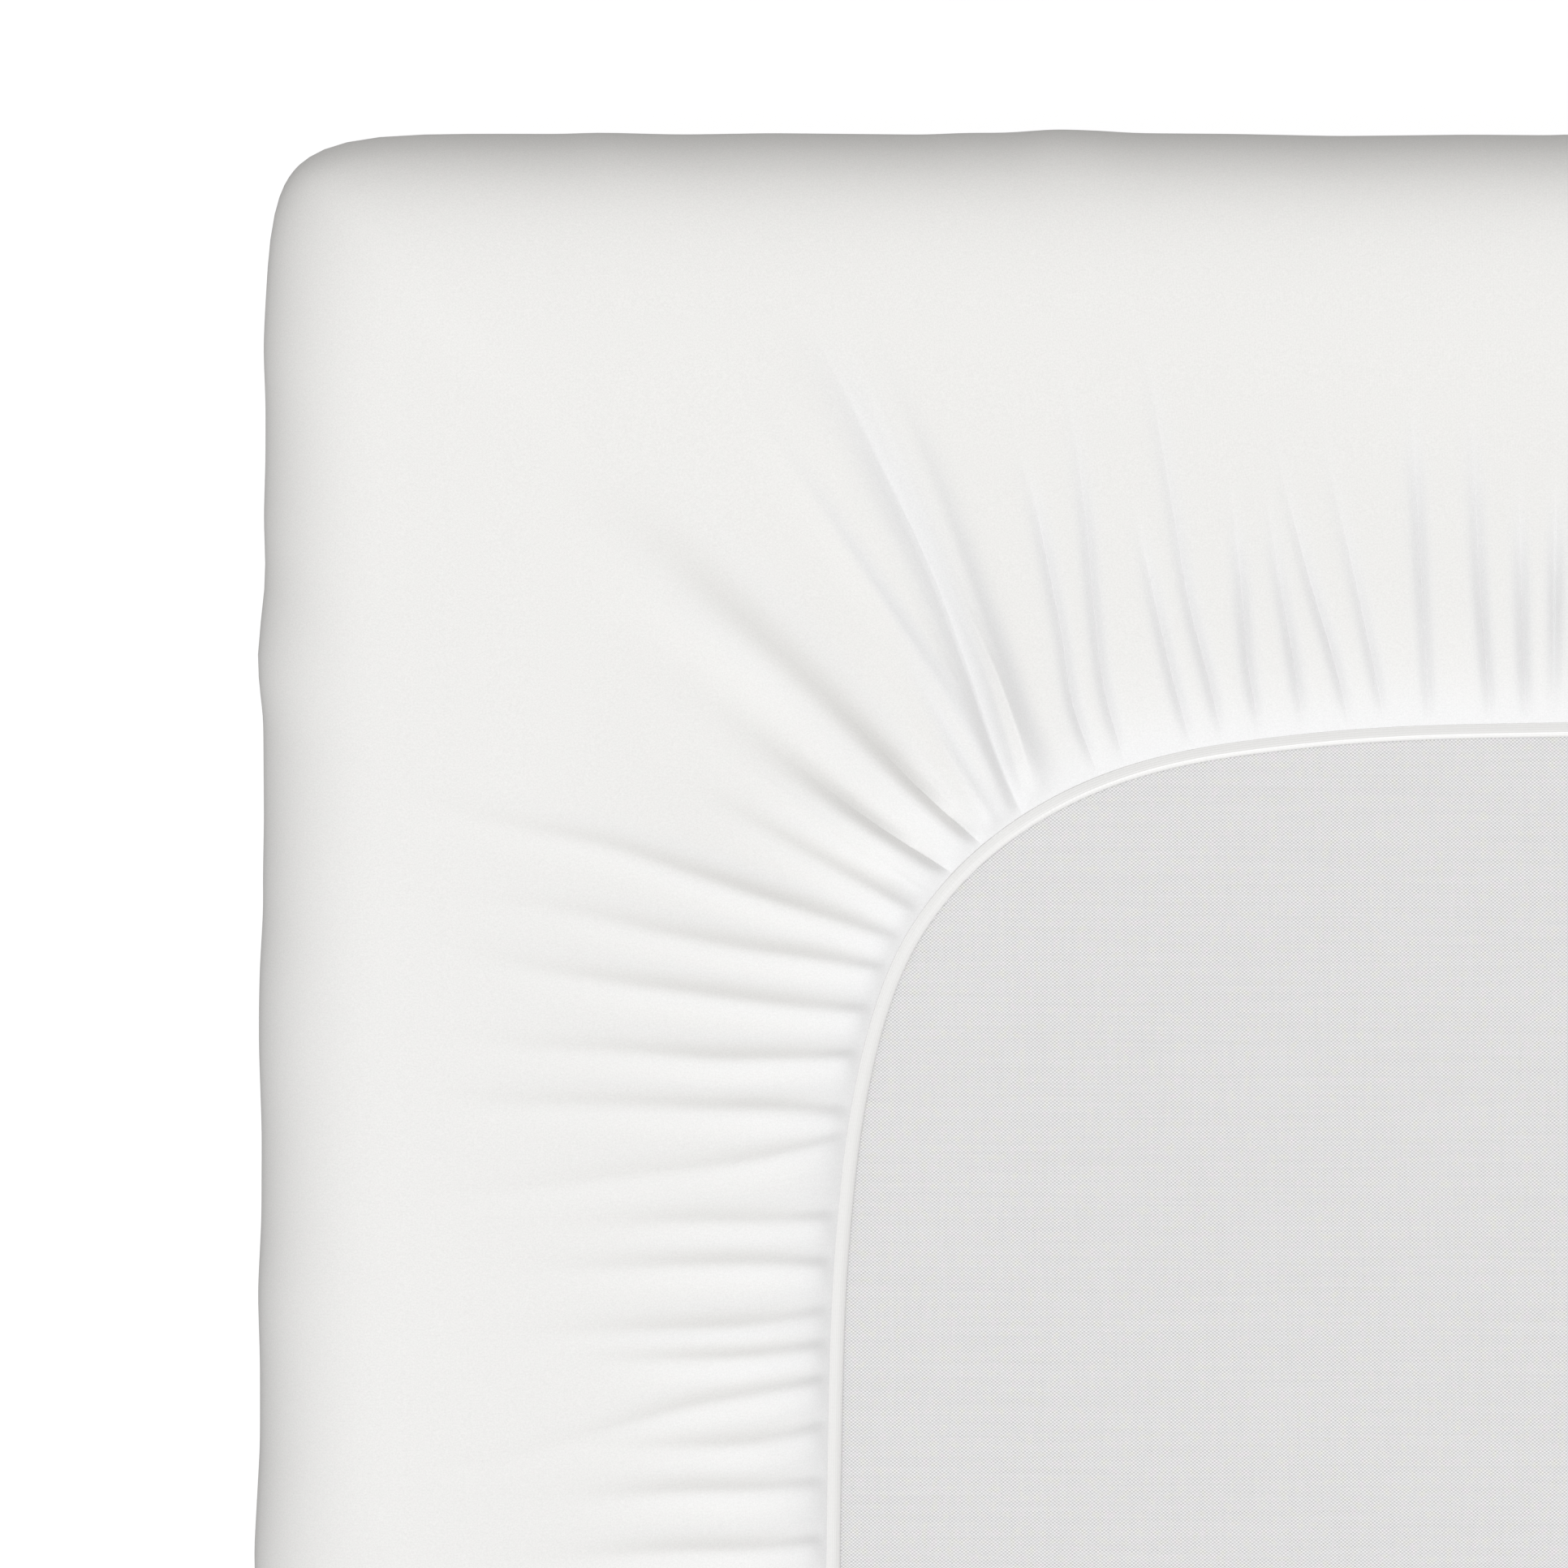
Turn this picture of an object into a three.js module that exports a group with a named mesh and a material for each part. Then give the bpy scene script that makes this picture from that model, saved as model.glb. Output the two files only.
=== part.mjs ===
// A fitted mattress pad on a crib mattress, lying face down as it does while it is being put on.
// The pad's padded panel is on the surface, its stretch skirt comes up the mattress's sides and
// turns over onto the underside, and an elastic binding gathers it round the pad's mouth, where
// the mattress shows. Millimetres, +Z up. X runs across the mattress and Y along it. The origin
// is the middle of the panel's outer face, on the surface that it lies on.
import * as THREE from "three";
import { ParametricGeometry } from "three/addons/geometries/ParametricGeometry.js";

// ---- Driving dimensions ----
const GAP = 0.3; // between pieces that touch
const MATTRESS = { width: 706, length: 1316, thickness: 140, corner: 32, roll: 30, rollHeight: 28 };
const PANEL = { thickness: 7, edge: 3.4 };
const CLOTH = { thickness: 1.5, clearance: 2.7 }; // the clearance is off the mattress's edges
const FOOT = { across: 14, down: 24, seam: 3.5 }; // the skirt's turn in to the panel's edge
const MOUTH = { halfWidth: 198.5, endInset: 164, cornerReach: 226, roundness: 3.6 };
const BINDING = { width: 4.2, height: 3, sides: 6 };
const CORNER_STEPS = 6; // the facets of a block's round corner, as many as the skirt has there
const GATHERED = { from: 1, full: 9, fade: 0.3 }; // where a gather rises, and starts to fade

// The skirt's rows of points. Across the underside each is a share of the way from the hem to
// where the cloth turns down, and in the two turns a share of the quarter turn.
const UNDERSIDE_ROWS = [0, 0.08, 0.26, 0.56, 1];
const TURN_ROWS = [0.25, 0.5, 0.75, 1];
const FOOT_ROWS = [0, 0.5, 1];

// The main gathers of one quarter of the mouth, from the middle of the mattress's end to the
// middle of its long side, where the first and the last lie.
// at: where the trough meets the binding, counted along the mouth's edge.
// edge: where its line would meet the pad's outline, counted along that. Both are shares of the
// last row's value, which is the curve's length.
// reach: how far the trough runs out. rise: how high the cloth puffs up between it and the next.
// steps: the columns of points to the next one, which are more where the outline turns.
const GATHERS = [
  { at: 0, edge: 0, reach: 55, rise: 2.2, steps: 2 },
  { at: 22, edge: 24, reach: 60, rise: 2.2, steps: 2 },
  { at: 55, edge: 62, reach: 60, rise: 2.4, steps: 2 },
  { at: 95, edge: 115, reach: 88, rise: 2.6, steps: 2 },
  { at: 121, edge: 175, reach: 84, rise: 2.6, steps: 2 },
  { at: 141, edge: 235, reach: 115, rise: 5.2, steps: 2 },
  { at: 151, edge: 272, reach: 125, rise: 4.4, steps: 2 },
  { at: 165, edge: 321, reach: 110, rise: 3.4, steps: 6 },
  { at: 196, edge: 378, reach: 125, rise: 3.0, steps: 2 },
  { at: 216, edge: 440, reach: 100, rise: 3.0, steps: 2 },
  { at: 244, edge: 510, reach: 100, rise: 2.8, steps: 2 },
  { at: 273, edge: 570, reach: 66, rise: 2.6, steps: 2 },
  { at: 316, edge: 640, reach: 88, rise: 2.6, steps: 2 },
  { at: 352, edge: 686, reach: 64, rise: 2.2, steps: 2 },
  { at: 440, edge: 786, reach: 60, rise: 2.4, steps: 2 },
  { at: 540, edge: 896, reach: 55, rise: 2.4, steps: 2 },
  { at: 640, edge: 1004, reach: 60, rise: 2.2, steps: 0 },
];

// The four quarters of the mouth, in turn round it. nudge: how far the middle of that quarter's
// gathers is pushed along the hem, so that no two corners are alike.
const QUARTERS = [
  { x: -1, y: 1, nudge: 0 },
  { x: -1, y: -1, nudge: 6 },
  { x: 1, y: -1, nudge: -5 },
  { x: 1, y: 1, nudge: 4 },
];

// Worked out from them.
const skirtReach = CLOTH.clearance + CLOTH.thickness;
const pad = {
  halfWidth: MATTRESS.width / 2 + skirtReach,
  halfLength: MATTRESS.length / 2 + skirtReach,
  corner: MATTRESS.corner + skirtReach,
};
const turn = { across: MATTRESS.roll + skirtReach, down: MATTRESS.rollHeight + skirtReach };
const mattressFoot = PANEL.thickness + GAP;
const mattressFace = mattressFoot + MATTRESS.thickness;
const hemTop = mattressFace + GAP + CLOTH.thickness;
const turnTop = mattressFace + skirtReach;
const mouthEnd = pad.halfLength - MOUTH.endInset;
const mouthCornerStart = mouthEnd - MOUTH.cornerReach;

const { lerp, smoothstep } = THREE.MathUtils;

// One quarter of the mouth's edge: a corner that is a quarter of a superellipse, and then a
// straight stretch.
class MouthQuarter extends THREE.Curve {
  arcLengthDivisions = 2000;
  cornerShare = 0.7;

  getPoint(t, target = new THREE.Vector2()) {
    const angle = Math.min(t / this.cornerShare, 1) * (Math.PI / 2);
    const bend = 2 / MOUTH.roundness;
    const x = MOUTH.halfWidth * Math.sin(angle) ** bend;
    const alongCorner = MOUTH.cornerReach * Math.max(Math.cos(angle), 0) ** bend;
    const straight = Math.max(t - this.cornerShare, 0) / (1 - this.cornerShare);
    return target.set(x, mouthCornerStart * (1 - straight) + alongCorner);
  }
}

// The same quarter of the pad's outline.
function outlineQuarter() {
  const x = pad.halfWidth - pad.corner;
  const y = pad.halfLength - pad.corner;
  const path = new THREE.Path().moveTo(0, pad.halfLength).lineTo(x, pad.halfLength);
  return path.absarc(x, y, pad.corner, Math.PI / 2, 0, true).lineTo(pad.halfWidth, 0);
}

const mouth = new MouthQuarter();
const outline = outlineQuarter();
const last = GATHERS[GATHERS.length - 1];

// A point on either curve, and the way out of the mattress there, square to the curve.
function placeOn(curve, share) {
  const point = curve.getPointAt(share);
  const run = curve.getTangentAt(share);
  return { point: new THREE.Vector3(point.x, point.y, 0), out: new THREE.Vector3(-run.y, run.x, 0) };
}

// A column of the skirt, the given share of the way from one gather to the next. It leaves the
// binding square to it and bends over to its place on the outline.
function columnAt(quarter, gather, next, share) {
  const at = lerp(gather.at, next.at, share) / last.at;
  const nudge = quarter.nudge * Math.sin(Math.PI * at);
  const hem = placeOn(mouth, Math.min(at + nudge / last.at, 1));
  const edge = placeOn(outline, Math.min(lerp(gather.edge, next.edge, share) / last.edge, 1));
  const start = hem.point.clone().addScaledVector(hem.out, BINDING.width + GAP);
  const end = edge.point.clone().addScaledVector(edge.out, -turn.across);
  const run = start.distanceTo(end);
  const middle = start.clone().addScaledVector(hem.out, run / 2);
  return {
    hem,
    edge,
    run,
    quarter,
    underside: new THREE.QuadraticBezierCurve3(start, middle, end),
    reach: lerp(gather.reach, next.reach, share),
    rise: gather.rise * Math.sin(Math.PI * share),
  };
}

function quarterColumns(quarter) {
  const columns = GATHERS.slice(0, -1).flatMap((gather, i) =>
    Array.from({ length: gather.steps }, (_, step) =>
      columnAt(quarter, gather, GATHERS[i + 1], step / gather.steps),
    ),
  );
  return [...columns, columnAt(quarter, last, last, 0)];
}

// All the columns, in turn round the mouth. Two quarters that meet share the column there.
const columns = QUARTERS.flatMap((quarter) => {
  const own = quarterColumns(quarter);
  const startsAtEnd = quarter.x * quarter.y < 0;
  return (startsAtEnd ? own : own.reverse()).slice(0, -1);
});

// How high a column's cloth puffs up, a distance out from the binding.
function puff({ rise, reach }, out) {
  const gathered = smoothstep(out, GATHERED.from, GATHERED.full);
  return rise * gathered * (1 - smoothstep(out, GATHERED.fade * reach, reach));
}

// One face of the skirt, as points from the hem to the seam at the foot. depth is how far the
// face lies within the cloth: 0 on its outer face, and the cloth's thickness on its inner one.
function skirtFace(column, depth) {
  const { edge, run } = column;
  const underside = UNDERSIDE_ROWS.map((share) => {
    const height = lerp(hemTop, turnTop, smoothstep(share, 0, 1)) + puff(column, share * run);
    return column.underside.getPoint(share).setZ(height - depth);
  });
  const overEdge = TURN_ROWS.map((share) => {
    const angle = (share * Math.PI) / 2;
    const inset = turn.across - (turn.across - depth) * Math.sin(angle);
    const height = turnTop - turn.down + (turn.down - depth) * Math.cos(angle);
    return edge.point.clone().addScaledVector(edge.out, -inset).setZ(height);
  });
  const foot = FOOT_ROWS.map((share) => {
    const angle = (share * Math.PI) / 2;
    const inset = FOOT.across - (FOOT.across - depth) * Math.cos(angle);
    const height = FOOT.seam + FOOT.down - (FOOT.down - depth) * Math.sin(angle);
    return edge.point.clone().addScaledVector(edge.out, -inset).setZ(height);
  });
  return [...underside, ...overEdge, ...foot];
}

function skirtSection(column) {
  return [...skirtFace(column, 0), ...skirtFace(column, CLOTH.thickness).reverse()];
}

// The binding's section: a tape folded round the hem, rounded, between the mouth and the cloth.
function bindingSection({ hem }) {
  const middle = mattressFace + GAP + BINDING.height / 2;
  return Array.from({ length: BINDING.sides }, (_, side) => {
    const angle = (side / BINDING.sides) * Math.PI * 2;
    const out = (BINDING.width / 2) * (1 - Math.cos(angle));
    const height = middle + (BINDING.height / 2) * Math.sin(angle);
    return hem.point.clone().addScaledVector(hem.out, out).setZ(height);
  });
}

// A closed ring with the given section at every column in turn.
function ringGeometry(sectionOf) {
  const sections = columns.map((column) => {
    const mirrored = new THREE.Vector3(column.quarter.x, column.quarter.y, 1);
    return sectionOf(column).map((point) => point.multiply(mirrored));
  });
  const points = sections[0].length;
  const surface = (u, v, target) => {
    const section = sections[Math.round(v * sections.length) % sections.length];
    target.copy(section[Math.round(u * points) % points]);
  };
  return new ParametricGeometry(surface, points, sections.length);
}

// A flat block with round corners and rounded edges, its foot at height 0.
function roundedBlock({ width, length, corner, thickness, roll, rollHeight, rollSteps }) {
  const x = width / 2 - corner;
  const y = length / 2 - corner;
  const radius = corner - roll;
  const shape = new THREE.Shape();
  shape.absarc(x, y, radius, 0, Math.PI / 2);
  shape.absarc(-x, y, radius, Math.PI / 2, Math.PI);
  shape.absarc(-x, -y, radius, Math.PI, Math.PI * 1.5);
  shape.absarc(x, -y, radius, Math.PI * 1.5, Math.PI * 2);
  const geometry = new THREE.ExtrudeGeometry(shape, {
    depth: thickness - 2 * rollHeight,
    bevelSize: roll,
    bevelThickness: rollHeight,
    bevelSegments: rollSteps,
    curveSegments: CORNER_STEPS / 2, // an arc gets two facets for each
  });
  return geometry.translate(0, 0, rollHeight);
}

const group = new THREE.Group();

function addPiece(name, geometry, color, roughness) {
  const material = new THREE.MeshStandardMaterial({ color, roughness, metalness: 0 });
  const mesh = new THREE.Mesh(geometry, material);
  mesh.name = name;
  group.add(mesh);
  return mesh;
}

// ---- Mattress: a plain block in woven grey cloth ----
const mattress = addPiece("mattress", roundedBlock({ ...MATTRESS, rollSteps: 4 }), 0xdedede, 0.9);
mattress.position.z = mattressFoot;

// ---- Panel: the pad's padded face, between the mattress and the surface ----
const panelInset = FOOT.across + GAP;
const panelBlock = roundedBlock({
  width: 2 * (pad.halfWidth - panelInset),
  length: 2 * (pad.halfLength - panelInset),
  corner: pad.corner - panelInset,
  thickness: PANEL.thickness,
  roll: PANEL.edge,
  rollHeight: PANEL.edge,
  rollSteps: 2,
});
addPiece("top_panel", panelBlock, 0xf0f0ee, 0.9);

// ---- Skirt: one strip of stretch cloth, from the panel's edge to the gathered hem ----
addPiece("skirt", ringGeometry(skirtSection), 0xf1f0ee, 0.85);

// ---- Elastic binding: folded round the skirt's hem, at the pad's mouth ----
addPiece("elastic_binding", ringGeometry(bindingSection), 0xf4f4f3, 0.8);

export default group;
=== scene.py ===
import math

import bmesh
import bpy
import numpy as np
from bpy.props import FloatProperty, FloatVectorProperty, IntProperty, PointerProperty
from mathutils.kdtree import KDTree
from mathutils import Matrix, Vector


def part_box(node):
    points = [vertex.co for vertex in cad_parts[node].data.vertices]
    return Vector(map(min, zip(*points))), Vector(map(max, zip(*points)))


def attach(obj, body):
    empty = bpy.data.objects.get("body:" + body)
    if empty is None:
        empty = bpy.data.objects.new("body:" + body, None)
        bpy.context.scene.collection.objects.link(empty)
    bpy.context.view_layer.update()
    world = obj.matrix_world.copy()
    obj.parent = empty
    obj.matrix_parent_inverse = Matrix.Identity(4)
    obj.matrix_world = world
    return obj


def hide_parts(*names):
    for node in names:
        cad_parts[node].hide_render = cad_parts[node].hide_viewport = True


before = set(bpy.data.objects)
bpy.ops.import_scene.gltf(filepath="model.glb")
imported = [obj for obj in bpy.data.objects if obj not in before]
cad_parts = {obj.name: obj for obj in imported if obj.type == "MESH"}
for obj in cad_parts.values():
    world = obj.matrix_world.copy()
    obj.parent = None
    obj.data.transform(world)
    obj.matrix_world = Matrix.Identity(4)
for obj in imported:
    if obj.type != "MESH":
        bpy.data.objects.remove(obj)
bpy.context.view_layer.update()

bl_info = {
    "name": "Fitted mattress pad",
    "version": (1, 0, 0),
    "blender": (4, 5, 0),
    "location": "View3D > Sidebar > Mattress pad",
    "description": "A fitted mattress pad on a crib mattress, face down, with its gathered mouth up",
    "category": "Object",
}

MM = 0.001  # the sewing sizes below are in millimetres, and the meshes in metres

# ---- The pad's outline and mouth, in millimetres ----
SKIRT_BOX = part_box("skirt")
MATTRESS_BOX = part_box("mattress")
PANEL_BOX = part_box("top_panel")
BINDING_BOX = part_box("elastic_binding")

TAPE_AT_SIDE, TAPE_AT_END = 4.1, 4.15  # how wide the binding lies along a side and along an end
TUCK = 0.45  # how far the skirt's edge goes into the folded binding
END_FULLNESS = 0.2  # how far the cloth stands out of the skirt's solid at the ends
HALF_WIDTH = SKIRT_BOX[1].x / MM
HALF_LENGTH = SKIRT_BOX[1].y / MM + END_FULLNESS
CORNER_SOFTNESS = 12.9  # how far from a corner the outline starts to leave the straight
FACE = MATTRESS_BOX[1].z / MM  # the height of the mattress's underside, which faces up
IN_AT_SIDE, IN_AT_END = 3.8, 5.4  # how far in the mouth's edge lies from the solid binding's edge
MOUTH_HALF_WIDTH = BINDING_BOX[1].x / MM - IN_AT_SIDE
MOUTH_END = BINDING_BOX[1].y / MM - IN_AT_END
MOUTH_CORNER_REACH = 226.3  # how far from its end the mouth gets straight
MOUTH_ROUNDNESS = 3.62  # 2 would be an ellipse, and more is squarer

# ---- The gathers of the front corner, at -X +Y, each as it lies ----
# A gather's line is given as places on the hem, counted from the middle of the mattress's end,
# that it passes at these distances out from the hem, and its strength (how deep it is) at others.
LINE_DEPTHS = (0, 23.4, 41.1, 67.6, 88.4, 110.5)
STRENGTH_DEPTHS = (4, 7.7, 13.3, 23.8, 41.4, 67.4, 89.5, 115)
# Its style is how much it leans over towards the end (0 to 1), how wide its side away from the
# end and its side towards it are, and how much it pinches the cloth at the binding.
LEANING = (1.0, 1.0, 1.0, 0.9)  # as along the side
UPRIGHT = (0.0, 1.0, 1.0, 0.0)  # as along the end
# The line, the strengths as far as it reaches, and the style, from the side round to the end.
GATHERS = (
    ((359.2, 361.6, 361.6, 363.2), (1.59, 2.18, 1.53, 1.87, 1.66, 0.34), LEANING),
    ((343.5, 345.5, 345.5, 347.5), (1.13, 1.56, 1.62, 1.86, 1.63, 0.16), LEANING),
    ((327.8, 333.2, 333.6), (1.62, 2.23, 1.1, 1.96, 1.05), LEANING),
    ((315.3, 319.8, 323.1, 331.3, 336.8), (2.15, 2.95, 2.08, 1.82, 1.34, 0.35, 0.1), LEANING),
    ((306.0, 309.7, 310.6), (2.3, 3.15, 1.88, 2.76, 1.75), LEANING),
    ((296.4, 301.6, 302.8, 304.5), (1.55, 2.11, 1.37, 2.09, 1.6, 0.39), LEANING),
    ((284.3, 285.2, 286.6, 288.9), (2.03, 2.78, 1.89, 2.12, 1.51, 0.4), LEANING),
    ((271.2, 274.5, 275.7, 278.6), (1.73, 2.37, 1.4, 1.46, 1.22, 0.11), LEANING),
    ((248.4, 258.2, 262.8, 267.9, 272.1), (1.55, 2.12, 1.85, 1.57, 0.76, 0.53, 0.18), LEANING),
    ((243.0, 245.9, 248.7, 251.4, 254.0), (1.93, 2.44, 1.83, 2.61, 1.68, 1.04, 0.58), LEANING),
    ((226.8, 233.2, 237.2, 239.9, 242.5), (3.2, 4.05, 2.04, 2.15, 2.06, 1.03, 0.38), LEANING),
    ((214.6, 220.5, 223.3, 226.6, 228.3), (3.21, 4.11, 2.19, 2.11, 2.16, 1.52, 0.61), LEANING),
    ((203.1, 208.5, 212.4, 215.8, 217.0, 219.9), (3.5, 4.2, 2.56, 2.45, 1.97, 1.26, 0.54), LEANING),
    (
        (194.8, 198.8, 201.4, 203.8, 205.1, 208.0), (2.86, 3.6, 3.22, 2.37, 2.88, 1.86, 1.23, 0.35),
        LEANING,
    ),
    ((187.0, 188.7, 189.6), (4.3, 4.2, 3.9, 3.0, 2.0), LEANING),
    ((174.5, 177.6, 178.4, 178.4), (3.2, 4.8, 6.4, 8.2, 6.0, 1.1, 0.6), (0.4, 0.95, 1.1, 0.9)),
    (
        (163.9, 166.2, 166.2, 166.2, 166.8), (3.0, 5.8, 6.9, 8.0, 6.2, 4.3, 5.2, 2.5),
        (0.4, 0.95, 1.0, 0.9),
    ),
    ((156.9, 155.6, 153.0), (3.2, 5.0, 5.3, 4.7, 3.1), (1.0, 1.0, 1.05, 0.5)),
    (
        (153.8, 150.7, 148.9, 149.0, 149.0), (0.0, 0.0, 0.0, 0.9, 2.8, 2.5, 1.7, 0.4),
        (1.0, 0.9, 0.9, 0.0),
    ),
    (
        (151.6, 147.8, 144.4, 141.3, 140.4, 139.9), (3.3, 5.8, 7.0, 8.2, 7.4, 5.6, 5.6, 3.0),
        (0.6, 1.15, 1.3, 0.5),
    ),
    (
        (142.1, 139.2, 137.0, 134.8, 133.7), (1.4, 3.6, 5.6, 6.2, 5.6, 3.6, 2.5, 0.5),
        (1.0, 1.15, 1.2, 0.5),
    ),
    ((128.2, 128.0, 124.3, 121.6), (0.28, 1.08, 2.51, 3.27, 2.61, 2.51), UPRIGHT),
    ((120.6, 120.0, 117.2, 113.2, 111.2), (0.21, 0.82, 2.62, 2.89, 2.89, 2.52, 0.77), UPRIGHT),
    ((101.9, 103.5, 103.5), (0.4, 1.58, 2.64, 2.86, 2.64), UPRIGHT),
    ((93.3, 94.9, 96.4, 96.0, 96.0), (0.34, 1.39, 2.74, 3.07, 2.51, 1.57, 1.01), UPRIGHT),
    ((83.2, 84.8, 83.9), (0.3, 1.23, 2.78, 3.19, 3.01), UPRIGHT),
    ((71.4, 73.0, 74.5), (0.24, 0.94, 2.58, 3.35, 2.34), UPRIGHT),
    ((58.4, 62.8, 67.0, 71.4), (0.28, 1.1, 2.51, 3.12, 2.21, 0.57), UPRIGHT),
    ((48.9, 52.9, 55.8, 60.2), (0.15, 0.6, 2.5, 2.82, 2.02, 0.5), UPRIGHT),
    ((37.4, 38.4, 39.2, 40.1), (0.32, 1.32, 2.57, 2.67, 3.17, 2.32), UPRIGHT),
    ((20.6, 22.5, 23.9, 25.0), (0.29, 1.21, 2.63, 3.5, 3.2, 1.78), UPRIGHT),
    ((10.9, 12.3, 12.7), (0.35, 1.41, 2.76, 3.61, 3.13), UPRIGHT),
    ((3.6, 3.6, 3.4), (0.15, 0.7, 1.5, 2.9, 4.0), UPRIGHT),
)
# The pleats that stand up between gathers: the same, with a height instead of a depth.
PLEATS = (
    (
        (149.2, 144.1, 141.0, 139.8, 139.3, 139.0), (0.3, 0.8, 1.2, 1.3, 1.3, 1.2, 0.9, 0.3),
        (0.0, 0.9, 1.2, 0.0),
    ),
    (
        (146.5, 141.4, 139.4, 138.6, 137.9, 136.8), (0.0, 0.2, 0.5, 1.0, 1.2, 1.0, 0.8, 0.3),
        (0.0, 0.6, 0.6, 0.0),
    ),
    ((183.1, 183.8, 183.8, 183.8), (0.1, 0.4, 0.5, 0.5, 0.4), (0.0, 0.6, 0.6, 0.0)),
)

# How far the hem wanders out of its smooth line, at places along the corner's hem.
HEM_WANDER_AT = (0, 38, 82, 149, 198, 236, 269, 324, 368, 430, 500, 580, 640)
HEM_WANDER = (-0.15, -0.75, -2.0, -1.2, 0.88, -0.77, -1.55, -1.33, -0.77, -0.3, 0.4, 0.2, 0)

# How far the pad's side stands out of its straight line, at places on the outline (the same
# count as above), with the small wrinkles that show as bumps on it.
SIDE_WANDER = (
    (0, -0.3), (25, -0.1), (61, -0.5), (90, 0.1), (117, 0.3), (127, 1.0), (139, 1.4), (152, 0.4),
    (164, 0.4), (174, -0.1), (217, 0.3), (242, -0.1), (264, 0.5), (274, 0.1), (321, 0.4),
    (336, 0.0), (343, -0.5), (364, -1.0), (384, -0.9), (401, -0.4), (416, -1.1), (432, -1.1),
    (448, -0.6), (462, -1.2), (470, -0.7), (481, 0.9), (486, 1.2), (494, 0.6), (502, -0.5),
    (531, -0.7), (546, -0.4), (555, -0.5), (572, 0.5), (583, 0.7), (593, 0.7), (616, -0.1),
    (640, 0.0), (660, 1.0), (679, 0.4), (702, 0.4), (731, 2.0), (790, 0.3), (1004, 0.0),
)


# ---- What a maker would change ----
def metres(name, description, default, **more):
    """A property that holds a length."""
    return FloatProperty(name=name, description=description, default=default, unit="LENGTH", **more)


def dye(name, description, default):
    """A property that holds a colour."""
    return FloatVectorProperty(
        name=name, description=description, default=default, subtype="COLOR", size=3, min=0, max=1,
    )


def degrees(name, description, default):
    """A property that holds an angle, whose default is given in degrees."""
    return FloatProperty(
        name=name, description=description, default=math.radians(default), unit="ROTATION",
    )


class PadSizes(bpy.types.PropertyGroup):
    """The sizes that a maker would change."""

    cloth: metres("Cloth", "Thickness of the skirt's jersey", 0.0015)
    puff: metres("Puff", "How high the cloth rises as it leaves the binding at an end", 0.0080)
    puff_run: metres("Puff run", "How far from the binding most of that rise is done", 0.0088)
    side_puff: metres("Side puff", "How much higher it rises along the sides", 0.0034)
    roll_across: metres(
        "Roll across", "How far in from the side the mattress's edge turns over", 0.0346,
    )
    roll_down: metres("Roll down", "How far down the side the edge's turn reaches", 0.0282)
    crown: metres("Crown", "How much the top falls towards its edges before the turn", 0.0065)
    crown_run: metres("Crown run", "How quickly that fall dies away inwards", 0.026)
    end_roll: metres("End roll", "How far the cloth falls where it turns over at the ends", 0.0234)
    end_run: metres("End run", "How quickly that turn dies away inwards", 0.0119)
    binding_height: metres(
        "Binding height", "Height of the folded elastic over the mattress", 0.0024,
    )
    fine_step: metres(
        "Fine step", "Space between the skirt's columns beside a front gather", 0.00028,
        precision=5,
    )
    coarse_step: metres("Coarse step", "The same at the other three corners", 0.001, precision=5)
    seed: IntProperty(
        name="Seed", description="Which set of gathers the other three corners get", default=11,
    )


class PadFinishes(bpy.types.PropertyGroup):
    """The cloths' colours and weaves."""

    jersey: dye("Jersey", "Colour of the skirt", (0.800, 0.7915, 0.7735))
    # Painted shade: the skirt's grooves and the cloth beside its ridges get this cooler colour in place
    # of the hue that shade brings. It also colours the cloth along the sides and by the binding.
    jersey_shade_and_hem_tint: dye(
        "Jersey in folds", "Its cooler colour beside the binding and in grooves",
        (0.7935, 0.7915, 0.792),
    )
    tape: dye("Tape", "Colour of the elastic binding", (0.775, 0.768, 0.757))
    ticking: dye("Ticking", "Colour of the mattress's woven cover", (0.678, 0.675, 0.678))
    panel: dye("Panel", "Colour of the padded panel's cloth", (0.80, 0.796, 0.785))
    ticking_across: metres(
        "Ticking across", "One repeat of the ticking's weave across the mattress", 0.001078,
        precision=6,
    )
    ticking_along: metres(
        "Ticking along", "One repeat of the ticking's weave along the mattress", 0.000884,
        precision=6,
    )


class PadStage(bpy.types.PropertyGroup):
    """The camera and the light."""

    lens: FloatProperty(name="Lens", description="Focal length in millimetres", default=300.0)
    view_width: metres("View width", "Width of what the camera sees at the pad's mouth", 0.427)
    view_centre: FloatVectorProperty(
        name="View centre", description="The point over which the camera stands",
        default=(-0.2135, 0.484), size=2, unit="LENGTH",
    )
    dome: FloatProperty(name="Dome", description="Strength of the light all round", default=0.71)
    key: FloatProperty(name="Key", description="Strength of the soft key light", default=1.468)
    key_tilt: degrees("Key tilt", "How far the key light leans towards the foot end", 35)
    key_softness: degrees("Key softness", "How wide the key light is, as an angle", 30)


# ---- Curves in plan ----
CURVE_STEP = 0.5  # between a curve's points
MOUTH_POINTS, SIDE_POINTS, END_POINTS, TURN_POINTS = 4000, 200, 300, 300  # before they are even
CORNER_BEGINS = 60  # how far from a corner the outline's points get closer
RING_SOFTNESS, BEND_SOFTNESS = 4, 6  # steps over which a ring's points and its bend are evened out


def evenly(points):
    """The same run of points, as many as give CURVE_STEP between them."""
    lengths = np.concatenate([[0], np.cumsum(np.hypot(*np.diff(points, axis=0).T))])
    places = np.linspace(0, lengths[-1], int(round(lengths[-1] / CURVE_STEP)) + 1)
    return np.stack([np.interp(places, lengths, points[:, k]) for k in (0, 1)], axis=1)


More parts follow.
